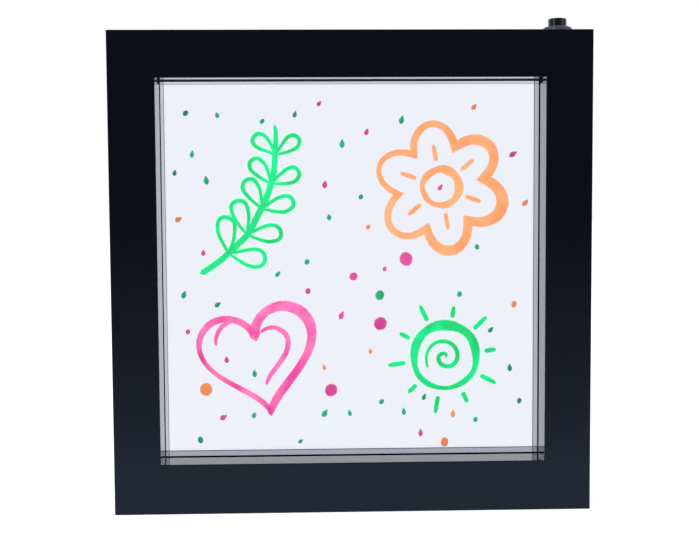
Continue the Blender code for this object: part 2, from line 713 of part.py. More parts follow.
def add_screw_wells(cover):
    """A cup round each screw hole, sunk from the rear face."""
    start = REAR_Y - WELL_DEPTH - WELL_FLOOR
    cups, wells, holes = [], [], []
    for x, z in screw_places():
        cups.append(((x, start, z), (x, COVER_Y + JOIN_OVERLAP, z)))
        wells.append(((x, REAR_Y - WELL_DEPTH, z), (x, REAR_Y + CUT_OVERRUN, z)))
        holes.append(((x, start - CUT_OVERRUN, z), (x, REAR_Y, z)))
    join(cover, tool("well_cups", rods("well_cups", cups, WELL_RADIUS + WELL_WALL, BOSS_FACETS)))
    cut(cover, tool("wells", rods("wells", wells, WELL_RADIUS, BOSS_FACETS)))
    hole_radius = SCREW_SHANK_RADIUS + SCREW_HOLE_CLEARANCE
    cut(cover, tool("screw_holes", rods("screw_holes", holes, hole_radius, PIN_FACETS)))


def rear_cover():
    edge = RIM_WALL + COVER_FIT
    outer_low, outer_high = (-HALF_WIDTH + edge, edge), (HALF_WIDTH - edge, FRAME_HEIGHT - edge)
    shape = frame_sheet(outer_low, outer_high, REAR_Y, REAR_Y - REAR_REVEAL_DEPTH)
    cover = frame_shell("rear_cover", shape, COVER_THICKNESS, SATIN_BLACK)
    add_tray(cover)
    add_screw_wells(cover)
    add_door_pocket(cover)


def writing_panel():
    size = (PANEL_HALF, PANEL_THICKNESS / 2, (PANEL_HIGH - PANEL_LOW) / 2)
    mesh = boxes("writing_panel", [([-s for s in size], size)])
    part("writing_panel", mesh, CLEAR_ACRYLIC, (0, PANEL_Y, (PANEL_LOW + PANEL_HIGH) / 2))


def case_screws():
    """Cross-head screws, whose heads sit at the bottom of the cover's wells."""
    head = quarter_round((0, 0), (SCREW_HEAD_RADIUS, SCREW_HEAD_HEIGHT), ROUNDING_STEPS)
    shank_low = SCREW_TIP_LENGTH - SCREW_LENGTH
    profile = [*head, (SCREW_SHANK_RADIUS, 0), (SCREW_SHANK_RADIUS, shank_low), (0, -SCREW_LENGTH)]
    pattern = turned("case_screw", profile, ZINC_STEEL, SCREW_FACETS)
    low_z, high_z = SCREW_HEAD_HEIGHT - SCREW_RECESS_DEPTH, SCREW_HEAD_HEIGHT + CUT_OVERRUN
    long, short = SCREW_HEAD_RADIUS * SCREW_RECESS_SHARE, SCREW_RECESS_WIDTH / 2
    for name, (half_x, half_y) in (("recess_across", (long, short)), ("recess_along", (short, long))):
        slot = ((-half_x, -half_y, low_z), (half_x, half_y, high_z))
        cut(pattern, tool(name, boxes(name, [slot])))
    mesh = finished_mesh(pattern)
    seat_y = REAR_Y - WELL_DEPTH + FINE_GAP
    facing_back = (-math.pi / 2, 0, 0)
    for number, (x, z) in enumerate(screw_places(), 1):
        part(f"case_screw_{number}", mesh, ZINC_STEEL, (x, seat_y, z), facing_back)


def led_mesh():
    """One LED: a block on the plane at X = 0, whose lit face at +X is a little smaller."""
    half_y, half_z = LED_WIDTH / 2, LED_LENGTH / 2
    mesh = boxes("led", [((0, -half_y, -half_z), (LED_HEIGHT, half_y, half_z))])
    for corner in mesh.vertices:
        if corner.co.x > 0:
            corner.co.y *= LED_WINDOW_SHARE
            corner.co.z *= LED_WINDOW_SHARE
    return mesh


def light_boards():
    """A board behind each side edge of the panel, with its LEDs and a resistor."""
    led = led_mesh()
    half = (BOARD_THICKNESS / 2, BOARD_WIDTH / 2, BOARD_LENGTH / 2)
    resistor_half = (RESISTOR_HEIGHT / 2, RESISTOR_WIDTH / 2, RESISTOR_LENGTH / 2)
    for name, side in SIDES.items():
        towards_panel = (0, 0, math.pi) if side > 0 else (0, 0, 0)
        mesh = boxes("light_board_" + name, [([-s for s in half], half)])
        board_x = side * (BOARD_FACE + BOARD_BACK) / 2
        part("light_board_" + name, mesh, BOARD_WHITE, (board_x, PANEL_Y, OPENING_MID))
        for number in range(LED_COUNT):
            led_z = BOARD_LOW + (number + 1 / 2) * LED_PITCH
            place = (side * (LED_FACE + LED_HEIGHT), PANEL_Y, led_z)
            part(f"led_{name}_{number + 1}", led, LED_CREAM, place, towards_panel)
        mesh = boxes("resistor_" + name, [([-s for s in resistor_half], resistor_half)])
        resistor_x = side * (BOARD_FACE - FINE_GAP - RESISTOR_HEIGHT / 2)
        part("resistor_" + name, mesh, RESISTOR_DARK, (resistor_x, PANEL_Y, BOARD_LOW + LED_PITCH))


def cells():
    """Round cells in a row, each with its positive end to the right."""
    radius = CELL_DIAMETER / 2
    half = CELL_LENGTH / 2
    body_top = half - CELL_NUB_HEIGHT
    profile = [
        (0, half),
        (CELL_NUB_RADIUS, half),
        (CELL_NUB_RADIUS, body_top),
        (radius - CELL_SHOULDER, body_top),
        (radius, body_top - CELL_SHOULDER),
        (radius, CELL_SHOULDER / 2 - half),
        (radius - CELL_SHOULDER / 2, -half),
        (0, -half),
    ]
    mesh = finished_mesh(turned("cell", profile, CELL_WRAP, CELL_FACETS))
    to_the_right = (0, math.pi / 2, 0)
    for index in range(CELL_COUNT):
        left_end = station_low_x(index) + CONTACT_SEAT + CELL_SPRING_LENGTH + FINE_GAP
        part(f"cell_{index + 1}", mesh, CELL_WRAP, (left_end + half, CELL_Y, CELL_Z), to_the_right)


def end_contact(name, side):
    """A flat contact at an end of the tray, whose tab comes out through the tray's floor."""
    top_y = COVER_Y - CONTACT_DROP
    low_y = TRAY_INNER_Y + FINE_GAP
    tab_y = TRAY_FRONT_Y - TAB_LENGTH
    half, tab_half = CONTACT_WIDTH / 2, TAB_WIDTH / 2
    outline = [
        (top_y, -half),
        (top_y, half),
        (low_y, half),
        (low_y, TAB_RISE + tab_half),
        (tab_y, TAB_RISE + tab_half),
        (tab_y, TAB_RISE - tab_half),
        (low_y, TAB_RISE - tab_half),
        (low_y, -half),
    ]
    x = side * (TRAY_INNER_HALF - FINE_GAP - CONTACT_THICKNESS / 2)
    upright = (math.pi / 2, 0, math.pi / 2)
    outline_part(name, outline, CONTACT_THICKNESS, SPRING_STEEL, (x, 0, CELL_Z), upright)


def link_contact(number):
    """A strip folded over a partition, which joins one cell's positive end to the next one's spring."""
    wall_low = station_low_x(number) - PARTITION_WALL
    inner_low, inner_high = wall_low - FINE_GAP, wall_low + PARTITION_WALL + FINE_GAP
    outer_low, outer_high = inner_low - CONTACT_THICKNESS, inner_high + CONTACT_THICKNESS
    fold_y = COVER_Y - PARTITION_DROP + FINE_GAP
    top_y = fold_y + CONTACT_THICKNESS
    low_y = TRAY_INNER_Y + FINE_GAP
    outline = [
        (outer_low, low_y),
        (inner_low, low_y),
        (inner_low, fold_y),
        (inner_high, fold_y),
        (inner_high, low_y),
        (outer_high, low_y),
        (outer_high, top_y),
        (outer_low, top_y),
    ]
    outline_part(f"contact_link_{number}", outline, CONTACT_WIDTH, SPRING_STEEL, (0, 0, CELL_Z))


def cell_spring(number):
    """A conical spring between a contact and a cell's flat end."""
    start_x = station_low_x(number - 1) + CONTACT_SEAT + CELL_SPRING_WIRE / 2
    end_x = station_low_x(number - 1) + CONTACT_SEAT + CELL_SPRING_LENGTH - CELL_SPRING_WIRE / 2
    start, end = (start_x, CELL_Y, CELL_Z), (end_x, CELL_Y, CELL_Z)
    points = helix(start, end, CELL_SPRING_BASE_RADIUS, CELL_SPRING_TIP_RADIUS, CELL_SPRING_TURNS)
    tube(f"cell_spring_{number}", points, CELL_SPRING_WIRE / 2, SPRING_STEEL)
    return least_gap(points, CELL_SPRING_WIRE)


def battery_door():
    """The door over the cells, which swings on two stub pins at its rounded upper edge."""
    arch = []
    for i in range(ARCH_STEPS + 1):
        angle = math.pi * i / ARCH_STEPS
        arch.append((DOOR_ROUND * math.cos(angle), DOOR_ROUND * math.sin(angle)))
    low = DOOR_LOW - DOOR_PIVOT_Z
    outline = [(DOOR_ROUND, low), *arch, (-DOOR_ROUND, low)]
    upright = (math.pi / 2, 0, math.pi / 2)
    hinge = (0, DOOR_PIVOT_Y, DOOR_PIVOT_Z)
    door = outline_part("battery_door", outline, 2 * DOOR_HALF, SATIN_BLACK, hinge, upright)
    pin_end = DOOR_HALF + DOOR_PIN_LENGTH
    pin = ((-pin_end, DOOR_PIVOT_Y, DOOR_PIVOT_Z), (pin_end, DOOR_PIVOT_Y, DOOR_PIVOT_Z))
    join(door, tool("hinge_pins", rods("hinge_pins", [pin], DOOR_PIN_RADIUS, PIN_FACETS)))
    half = TONGUE_WIDTH / 2 - TONGUE_SLIT
    nose = ((-half, COVER_Y, DOOR_LOW - TONGUE_NOSE), (half, REAR_Y, DOOR_LOW + JOIN_OVERLAP))
    join(door, tool("latch_nose", boxes("latch_nose", [nose])))
    slits, grips = [], []
    for side in SIDES.values():
        low_x, high_x = span(side, half, half + TONGUE_SLIT)
        low_corner = (low_x, COVER_Y - CUT_OVERRUN, DOOR_LOW - CUT_OVERRUN)
        slits.append((low_corner, (high_x, REAR_Y + CUT_OVERRUN, DOOR_LOW + TONGUE_LENGTH)))
    cut(door, tool("latch_slits", boxes("latch_slits", slits)))
    for number in range(GRIP_COUNT):
        low_z = DOOR_LOW + (number + 1 / 2) * GRIP_PITCH
        low = (GRIP_WIDTH - half, REAR_Y - GRIP_DEPTH, low_z)
        grips.append((low, (half - GRIP_WIDTH, REAR_Y + CUT_OVERRUN, low_z + GRIP_WIDTH)))
    cut(door, tool("latch_grips", boxes("latch_grips", grips)))


def switch_bushing():
    """The switch's collar and barrel, with a narrow bore at the top that guides the button."""
    shoulder = (COLLAR_TOP_RADIUS, FRAME_HEIGHT + COLLAR_SIDE)
    swell = (COLLAR_RADIUS - COLLAR_TOP_RADIUS, COLLAR_HEIGHT - COLLAR_SIDE)
    guide_radius = BUTTON_RADIUS + BUTTON_CLEARANCE
    profile = [
        *quarter_round(shoulder, swell, ROUNDING_STEPS),
        (COLLAR_RADIUS, FRAME_HEIGHT + FINE_GAP),
        (BARREL_RADIUS, FRAME_HEIGHT + FINE_GAP),
        (BARREL_RADIUS, BASE_SEAT_Z + FINE_GAP),
        (BORE_RADIUS, BASE_SEAT_Z + FINE_GAP),
        (BORE_RADIUS, GUIDE_Z),
        (guide_radius, GUIDE_Z),
        (guide_radius, COLLAR_TOP_Z),
    ]
    turned("switch_bushing", profile, GLOSS_BLACK, ROUND_FACETS, (SWITCH_X, 0, 0), closed=True)


def switch_nut():
    """The six-sided nut that holds the switch to the frame's top wall."""
    outer = NUT_ACROSS_FLATS / 2 / math.cos(math.pi / NUT_SIDES)
    half = NUT_THICKNESS / 2
    middle = TOP_WALL_Z - FINE_GAP - half
    mesh = rods("switch_nut", [((0, 0, -half), (0, 0, half))], outer, NUT_SIDES)
    nut = part("switch_nut", mesh, ZINC_STEEL, (SWITCH_X, 0, middle))
    bore = ((SWITCH_X, 0, middle - half - CUT_OVERRUN), (SWITCH_X, 0, middle + half + CUT_OVERRUN))
    cut(nut, tool("nut_bore", rods("nut_bore", [bore], BARREL_RADIUS + NUT_CLEARANCE, ROUND_FACETS)))


def switch_base():
    """The plug that closes the barrel, with a slot for each terminal."""
    profile = [
        (0, SPIGOT_Z),
        (BORE_RADIUS - FINE_GAP, SPIGOT_Z),
        (BORE_RADIUS - FINE_GAP, BASE_SEAT_Z),
        (BARREL_RADIUS, BASE_SEAT_Z),
        (BARREL_RADIUS, BASE_LOW_Z),
        (0, BASE_LOW_Z),
    ]
    base = turned("switch_base", profile, SATIN_BLACK, ROUND_FACETS // 2, (SWITCH_X, 0, 0))
    slots = []
    half_x = TERMINAL_WIDTH / 2 + FINE_GAP
    half_y = TERMINAL_THICKNESS / 2 + FINE_GAP
    for side in SIDES.values():
        y = side * TERMINAL_SPREAD
        low = (SWITCH_X - half_x, y - half_y, BASE_LOW_Z - CUT_OVERRUN)
        slots.append((low, (SWITCH_X + half_x, y + half_y, SPIGOT_Z + CUT_OVERRUN)))
    cut(base, tool("terminal_slots", boxes("terminal_slots", slots)))


def switch_terminal(name, side):
    """A solder lug below the switch, with its fixed contact inside."""
    half_x, half_y = TERMINAL_WIDTH / 2, TERMINAL_THICKNESS / 2
    place = (SWITCH_X, side * TERMINAL_SPREAD, 0)
    head_low = SPIGOT_Z + FINE_GAP
    lug = ((-half_x, -half_y, TERMINAL_TIP_Z), (half_x, half_y, head_low + JOIN_OVERLAP))
    terminal = part(name, boxes(name, [lug]), BRASS, place)
    y = place[1]
    head = ((SWITCH_X, y, head_low), (SWITCH_X, y, HEAD_TOP_Z))
    head_name, hole_name = name + "_head", name + "_hole"
    join(terminal, tool(head_name, rods(head_name, [head], TERMINAL_HEAD_RADIUS, PIN_FACETS)))
    hole_z = TERMINAL_TIP_Z + TERMINAL_WIDTH / 2
    reach = half_y + CUT_OVERRUN
    hole = ((SWITCH_X, y - reach, hole_z), (SWITCH_X, y + reach, hole_z))
    cut(terminal, tool(hole_name, rods(hole_name, [hole], TERMINAL_HOLE_RADIUS, PIN_FACETS)))


def button():
    """What moves when the switch is pressed: the button, its plunger and the contact bridge."""
    top = COLLAR_TOP_Z + BUTTON_RISE
    inner = BUTTON_RADIUS - BUTTON_ROUNDING
    low = FLANGE_TOP_Z + FINE_GAP
    corner = (inner, top - BUTTON_ROUNDING)
    rounding = quarter_round(corner, (BUTTON_ROUNDING, BUTTON_ROUNDING), ROUNDING_STEPS)
    profile = [(0, top), *rounding, (BUTTON_RADIUS, low), (0, low)]
    axis = (SWITCH_X, 0, 0)
    turned("button_cap", profile, GLOSS_BLACK, ROUND_FACETS, axis)
    stem_low = BRIDGE_TOP_Z + FINE_GAP
    profile = [
        (0, FLANGE_TOP_Z),
        (PLUNGER_RADIUS, FLANGE_TOP_Z),
        (PLUNGER_RADIUS, FLANGE_LOW_Z),
        (PLUNGER_STEM_RADIUS, FLANGE_LOW_Z),
        (PLUNGER_STEM_RADIUS, stem_low),
        (0, stem_low),
    ]
    turned("button_plunger", profile, SATIN_BLACK, ROUND_FACETS // 2, axis)
    profile = [
        (0, BRIDGE_TOP_Z),
        (BRIDGE_RADIUS, BRIDGE_TOP_Z),
        (BRIDGE_RADIUS, BRIDGE_LOW_Z),
        (0, BRIDGE_LOW_Z),
    ]
    turned("contact_bridge", profile, BRASS, ROUND_FACETS // 2, axis)


def return_spring():
    """The coil that lifts the button, from the switch's base to the plunger's flange."""
    low = SPIGOT_Z + FINE_GAP + RETURN_SPRING_WIRE / 2
    high = FLANGE_LOW_Z - FINE_GAP - RETURN_SPRING_WIRE / 2
    start, end = (SWITCH_X, 0, low), (SWITCH_X, 0, high)
    points = helix(start, end, RETURN_SPRING_RADIUS, RETURN_SPRING_RADIUS, RETURN_SPRING_TURNS)
    tube("return_spring", points, RETURN_SPRING_WIRE / 2, SPRING_STEEL)
    return least_gap(points, RETURN_SPRING_WIRE)


def wires():
    """The wires: cells to switch, switch to right board, right board to left board, and back."""
    pad_x = BOARD_FACE - SEAT_GAP - WIRE_RADIUS
    first_y = STOP_END_Y + SEAT_GAP + WIRE_RADIUS
    lanes = [first_y + number * WIRE_PITCH for number in range(3)]
    front_lanes = [WIRE_Y + (number - 1) * WIRE_PITCH for number in range(3)]
    first_z = TRAY_HIGH + WIRE_FORWARD_GAP + WIRE_RADIUS
    forward_z = [first_z + (2 - number) * WIRE_PITCH for number in range(3)]
    tab_x = TRAY_INNER_HALF - FINE_GAP - CONTACT_THICKNESS / 2
    tab_y = TRAY_FRONT_Y - TAB_LENGTH - SEAT_GAP
    tab_z = CELL_Z + TAB_RISE
    wall_x = HALF_WIDTH - HOUSING_WALL - SEAT_GAP - WIRE_RADIUS
    lug_y = TERMINAL_SPREAD
    lug_z = TERMINAL_TIP_Z - SEAT_GAP
    lug_side = SWITCH_X + TERMINAL_WIDTH / 2 + SEAT_GAP
    hole_z = TERMINAL_TIP_Z + TERMINAL_WIDTH / 2

    route = [
        (tab_x, tab_y, tab_z),
        (tab_x, front_lanes[0], tab_z),
        (wall_x, front_lanes[0], tab_z),
        (wall_x, WIRE_Y, tab_z + WIRE_BEND / 2),
        (wall_x, WIRE_Y, tab_z + WIRE_BEND),
        (wall_x, WIRE_Y, hole_z - WIRE_BEND),
        (wall_x, WIRE_Y, hole_z),
        (lug_side + WIRE_BEND, -lug_y, hole_z),
        (lug_side, -lug_y, hole_z),
    ]
    wire("wire_cells_to_switch", route, RED_PVC)

    over_board = BOARD_HIGH + SEAT_GAP + 2 * WIRE_RADIUS
    route = [
        (SWITCH_X, lug_y, lug_z),
        (SWITCH_X, lug_y, over_board),
        (pad_x, lanes[1], over_board),
        (pad_x, lanes[1], BOARD_HIGH),
        (pad_x, lanes[1], BOARD_HIGH - WIRE_OVERLAP),
    ]
    wire("wire_switch_to_board", route, RED_PVC)

    pad_z = BOARD_LOW + WIRE_OVERLAP
    under_stop = BOARD_LOW - SEAT_GAP - STOP_LENGTH
    for name, number, front_y, low_z, material in (
        ("wire_link_positive", 2, front_lanes[2], LINK_LOW_Z, RED_PVC),
        ("wire_link_negative", 1, front_lanes[1], LINK_LOW_Z + LINK_PITCH, BLACK_PVC),
    ):
        half = [
            (pad_x, lanes[number], pad_z),
            (pad_x, lanes[number], under_stop),
            (pad_x, lanes[number], forward_z[number]),
            (pad_x, front_y, forward_z[number]),
            (pad_x, front_y, low_z + WIRE_BEND),
            (pad_x, front_y, low_z),
            (pad_x - WIRE_BEND, WIRE_Y, low_z),
            (OPENING_HALF / 2, WIRE_Y, low_z),
        ]
        other_half = [(-x, y, z) for x, y, z in reversed(half)]
        wire(name, half + other_half, material)

    route = [
        (-tab_x, tab_y, tab_z),
        (-tab_x, front_lanes[0], tab_z),
        (-pad_x, front_lanes[0], tab_z),
        (-pad_x, front_lanes[0], forward_z[0]),
        (-pad_x, lanes[0], forward_z[0]),
        (-pad_x, lanes[0], under_stop),
        (-pad_x, lanes[0], pad_z),
    ]
    wire("wire_board_to_cells", route, BLACK_PVC)


def main():
    clear_scene()
    front_housing()
    rear_cover()
    writing_panel()
    case_screws()
    light_boards()
    cells()
    end_contact("contact_negative", SIDES["left"])
    end_contact("contact_positive", SIDES["right"])
    for number in range(1, CELL_COUNT):
        link_contact(number)
    gaps = [cell_spring(number) for number in range(1, CELL_COUNT + 1)]
    battery_door()
    switch_bushing()
    switch_nut()
    switch_base()
    switch_terminal("switch_terminal_front", SIDES["left"])
    switch_terminal("switch_terminal_rear", SIDES["right"])
    button()
    gaps.append(return_spring())
    wires()
    print(f"least gap between a spring's turns: {min(gaps) / MILLIMETRE:.2f} mm")


main()
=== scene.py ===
"""The neon message board dressed for its portrait: finishes, fine pieces, drawn inks, light and camera.

Metres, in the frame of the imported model: X to the right, Y to the back, Z up, origin under the middle.
"""

import json
import math
import random

import bpy
from mathutils import Matrix, Vector

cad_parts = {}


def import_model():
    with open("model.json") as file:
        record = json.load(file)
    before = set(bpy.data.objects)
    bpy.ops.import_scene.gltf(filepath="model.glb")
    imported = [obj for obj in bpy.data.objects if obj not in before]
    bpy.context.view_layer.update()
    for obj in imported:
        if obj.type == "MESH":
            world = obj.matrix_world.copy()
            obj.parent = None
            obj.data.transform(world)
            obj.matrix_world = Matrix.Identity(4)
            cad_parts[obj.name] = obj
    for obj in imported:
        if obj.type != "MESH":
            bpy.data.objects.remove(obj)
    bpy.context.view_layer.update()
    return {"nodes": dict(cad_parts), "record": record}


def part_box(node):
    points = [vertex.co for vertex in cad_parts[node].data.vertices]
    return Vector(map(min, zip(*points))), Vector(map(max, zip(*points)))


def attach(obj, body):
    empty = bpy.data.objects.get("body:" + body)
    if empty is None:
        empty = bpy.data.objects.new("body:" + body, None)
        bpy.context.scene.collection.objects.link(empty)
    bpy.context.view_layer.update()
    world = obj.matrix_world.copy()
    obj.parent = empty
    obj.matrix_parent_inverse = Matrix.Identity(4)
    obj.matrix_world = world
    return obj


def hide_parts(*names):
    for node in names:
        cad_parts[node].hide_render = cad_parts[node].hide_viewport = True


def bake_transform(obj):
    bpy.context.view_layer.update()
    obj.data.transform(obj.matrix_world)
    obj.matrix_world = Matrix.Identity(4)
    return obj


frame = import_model()

SMOOTH_ANGLE = math.radians(40)
MERGE_DISTANCE = 0.000002
FLAT_ANGLE = math.radians(0.5)  # under which neighbouring faces of a CAD node become one
BEVEL_ANGLE = math.radians(50)

# Camera, fitted to the corners of the frame in the photograph
PHOTO_WIDTH = 699
FOCAL_PIXELS = 1067.5
SENSOR_WIDTH = 36
CAMERA_PLACE = Vector((-0.0147, -0.50135, 0.1444))
CAMERA_YAW = math.radians(1.572)
CAMERA_PITCH = math.radians(3.578)
CAMERA_ROLL = math.radians(-0.330)

# The panel and the opening that the inks stay in
PANEL_LOW, PANEL_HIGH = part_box("writing_panel")
PANEL_FACE = PANEL_LOW.y
OPENING_HALF = 0.0886
OPENING_LOW = 0.0232
OPENING_HIGH = 0.1996
COVER_PLATE = 0.0021  # of the cover's depth, at its textured rear
COVER_PLATE_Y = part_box("rear_cover")[1].y - COVER_PLATE


def deselect():
    bpy.ops.object.select_all(action="DESELECT")


def choose(made):
    """Makes the object the active and only selected one."""
    deselect()
    made.select_set(True)
    bpy.context.view_layer.objects.active = made


def edit():
    bpy.ops.object.mode_set(mode="EDIT")


def edit_all():
    edit()
    bpy.ops.mesh.select_all(action="SELECT")


def leave_edit():
    bpy.ops.object.mode_set(mode="OBJECT")


def choose_none():
    """Leaves nothing of the active mesh selected."""
    edit()
    bpy.ops.mesh.select_all(action="DESELECT")
    leave_edit()


def merge_and_leave():
    """Merges doubled points, turns the faces outwards and ends the editing."""
    bpy.ops.mesh.remove_doubles(threshold=MERGE_DISTANCE)
    bpy.ops.mesh.normals_make_consistent(inside=False)
    leave_edit()


def current(name):
    made = bpy.context.object
    made.name = name
    made.data.name = name
    return made


def settle(made):
    """Moves the object's place, turn and scale into its mesh."""
    choose(made)
    bpy.ops.object.transform_apply(location=True, rotation=True, scale=True)
    return made


def apply_modifier(made, kind, **settings):
    choose(made)
    modifier = made.modifiers.new(kind.lower(), kind)
    for name, value in settings.items():
        setattr(modifier, name, value)
    bpy.ops.object.modifier_apply(modifier=modifier.name)
    return made


def smooth_shade(made, angle=SMOOTH_ANGLE):
    choose(made)
    bpy.ops.object.shade_smooth_by_angle(angle=angle)
    return made


def join_pieces(name, pieces):
    deselect()
    for piece in pieces:
        piece.select_set(True)
    bpy.context.view_layer.objects.active = pieces[0]
    if len(pieces) > 1:
        bpy.ops.object.join()
    return current(name)


def fit(made, paint=None, nodes=(), body="root"):
    """Paints a finished piece, stands it in for its CAD nodes and lets it ride on its body."""
    if paint:
        made.data.materials.clear()
        made.data.materials.append(paint)
    for node in nodes:
        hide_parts(node)
    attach(made, body)
    return made


def fine_copy(node, name, paint, body="root", bevel=0.0, rounder=False):
    """A merged, smooth-shaded copy of a CAD node, which it replaces; its sharp edges may be broken."""
    made = copy_of(frame["nodes"][node], name)
    made.parent = None
    made.matrix_world = Matrix.Identity(4)
    choose(made)
    edit_all()
    bpy.ops.mesh.remove_doubles(threshold=MERGE_DISTANCE)
    bpy.ops.mesh.dissolve_limited(angle_limit=FLAT_ANGLE)
    leave_edit()
    if bevel:
        apply_modifier(made, "BEVEL", width=bevel, segments=2, limit_method="ANGLE", angle_limit=BEVEL_ANGLE)
    if rounder:
        apply_modifier(made, "SUBSURF", levels=1, render_levels=1)
    smooth_shade(made)
    apply_modifier(made, "WEIGHTED_NORMAL", keep_sharp=True, weight=50)
    return fit(made, paint, (node,), body)


def ring_arc(centre, radius, first, last, steps=6):
    """(radius, height) points of a rounding in a turned profile, between two angles in degrees."""
    points = []
    for step in range(steps + 1):
        angle = math.radians(first + (last - first) * step / steps)
        points.append((centre[0] + radius[0] * math.cos(angle), centre[1] + radius[1] * math.sin(angle)))
    return points


def turned(name, profile, sides=96, hollow=False):
    """A piece turned about Z: a ring drawn on from each (radius, height) of the profile to the next."""
    deselect()
    radius, height = profile[0]
    kind = "NOTHING" if hollow else "NGON"
    bpy.ops.mesh.primitive_circle_add(vertices=sides, radius=radius, fill_type=kind, location=(0, 0, height))
    made = current(name)
    edit_all()
    draw_on = bpy.ops.mesh.extrude_edges_move if hollow else bpy.ops.mesh.extrude_region_move
    for next_radius, next_height in profile[1:]:
        draw_on(TRANSFORM_OT_translate={"value": (0, 0, next_height - height)})
        scale = next_radius / radius
        bpy.ops.transform.resize(value=(scale, scale, 1), center_override=(0, 0, next_height))
        radius, height = next_radius, next_height
    bpy.ops.mesh.select_all(action="SELECT")
    merge_and_leave()
    return settle(made)


def placed(made, place, turn=(0, 0, 0)):
    made.location = place
    made.rotation_euler = turn
    return settle(made)


def copy_of(made, name):
    twin = made.copy()
    twin.data = made.data.copy()
    bpy.context.scene.collection.objects.link(twin)
    twin.name = name
    twin.data.name = name
    return twin


def block(name, low, high, bevel=0.0, segments=2):
    """A box from its low corner to its high corner, with rounded edges."""
    deselect()
    centre = [(a + b) / 2 for a, b in zip(low, high)]
    bpy.ops.mesh.primitive_cube_add(size=1, location=centre)
    made = current(name)
    made.scale = [b - a for a, b in zip(low, high)]
    settle(made)
    if bevel:
        edit_all()
        bpy.ops.mesh.bevel(offset=bevel, segments=segments, affect="EDGES")
        leave_edit()
    return made


def paint_faces(made, paint, chosen):
    """Gives the faces that the test chooses a paint of their own."""
    made.data.materials.append(paint)
    number = len(made.data.materials) - 1
    for face in made.data.polygons:
        if chosen(face):
            face.material_index = number
    return made


def round_bar(points, radii, closed=False):
    """A mesh of round section along a line, with its radius at each point."""
    deselect()
    bpy.ops.curve.primitive_nurbs_path_add(location=(0, 0, 0))
    path = bpy.context.object
    path.data.splines.clear()
    line = path.data.splines.new("POLY")
    line.points.add(len(points) - 1)
    for held, point, radius in zip(line.points, points, radii):
        held.co = (*point, 1)
        held.radius = radius
    line.use_cyclic_u = closed
    path.data.bevel_depth = 1
    path.data.bevel_resolution = 4
    path.data.use_fill_caps = not closed
    bpy.ops.object.convert(target="MESH")
    edit_all()
    merge_and_leave()
    return bpy.context.object


COIL_STEPS = 40  # in each turn of a spring's wire


def coil(name, start, end, first_radius, last_radius, turns, wire):
    """A spring's wire between two places on its axis, made a mesh."""
    turn_to = (end - start).to_track_quat("Z", "Y")
    count = round(turns * COIL_STEPS)
    points = []
    for index in range(count + 1):
        share = index / count
        angle = 2 * math.pi * turns * share
        radius = first_radius + (last_radius - first_radius) * share
        across = Vector((math.cos(angle), math.sin(angle), 0)) * radius
        points.append(start.lerp(end, share) + turn_to @ across)
    made = round_bar(points, [wire / 2] * len(points))
    made.name = name
    made.data.name = name
    return smooth_shade(made)


# Shader groups that several finishes share


def new_group(name, inputs, outputs):
    """An empty shader group; inputs hold (name, kind, default) and outputs (name, kind)."""
    group = bpy.data.node_groups.new(name, "ShaderNodeTree")
    for socket, kind, value in inputs:
        made = group.interface.new_socket(socket, in_out="INPUT", socket_type=kind)
        made.default_value = value
    for socket, kind in outputs:
        group.interface.new_socket(socket, in_out="OUTPUT", socket_type=kind)
    entry = group.nodes.new("NodeGroupInput")
    leave = group.nodes.new("NodeGroupOutput")
    return group, entry, leave


def add_node(tree, kind, settings=None, **inputs):
    """A node with its settings and inputs, which i0, i1 and so on name by number; sockets are linked."""
    made = tree.nodes.new(kind)
    for name, value in (settings or {}).items():
        setattr(made, name, value)
    for name, value in inputs.items():
        socket = made.inputs[int(name[1:])] if name[:1] == "i" and name[1:].isdigit() else made.inputs[name]
        if isinstance(value, bpy.types.NodeSocket):
            tree.links.new(value, socket)
        else:
            socket.default_value = value
    return made


def maths(tree, operation, *values):
    """The result of a Math node on values or sockets."""
    inputs = {f"i{number}": value for number, value in enumerate(values)}
    return add_node(tree, "ShaderNodeMath", {"operation": operation}, **inputs).outputs[0]


def remap(tree, value, low, high, to_low=0.0, to_high=1.0, kind="LINEAR"):
    """The result of a Map Range node."""
    ends = {"i1": low, "i2": high, "i3": to_low, "i4": to_high}
    return add_node(tree, "ShaderNodeMapRange", {"interpolation_type": kind}, i0=value, **ends).outputs[0]


def dot_product(tree, first, second):
    pair = {"i0": first, "i1": second}
    return add_node(tree, "ShaderNodeVectorMath", {"operation": "DOT_PRODUCT"}, **pair).outputs["Value"]


def own_noise(tree, scale, **inputs):
    """Noise in the object's own coordinates."""
    place = add_node(tree, "ShaderNodeTexCoord")
    made = add_node(tree, "ShaderNodeTexNoise", Vector=place.outputs["Object"], Scale=scale, **inputs)
    return made.outputs["Fac"]


def own_axes(tree):
    """The object's own X, Y and Z as sockets."""
    place = add_node(tree, "ShaderNodeTexCoord")
    return add_node(tree, "ShaderNodeSeparateXYZ", Vector=place.outputs["Object"]).outputs


def colour_mix(tree, share):
    """A colour mix's two colour inputs and its colour output."""
    mix = add_node(tree, "ShaderNodeMix", {"data_type": "RGBA"}, i0=share)
    first, second = [socket for socket in mix.inputs if socket.type == "RGBA"]
    mixed = [socket for socket in mix.outputs if socket.type == "RGBA"][0]
    return first, second, mixed


def moulded_grain_group():
    """Fine grain of moulded plastic, as a height."""
    group, entry, leave = new_group(
        "moulded_grain",
        [("Grain Size", "NodeSocketFloat", 0.0003), ("Softness", "NodeSocketFloat", 0.5)],
        [("Height", "NodeSocketFloat")],
    )
    scale = maths(group, "DIVIDE", 1.0, entry.outputs["Grain Size"])
    noise = own_noise(group, scale, Detail=3, Roughness=entry.outputs["Softness"])
    group.links.new(noise, leave.inputs["Height"])
    return group


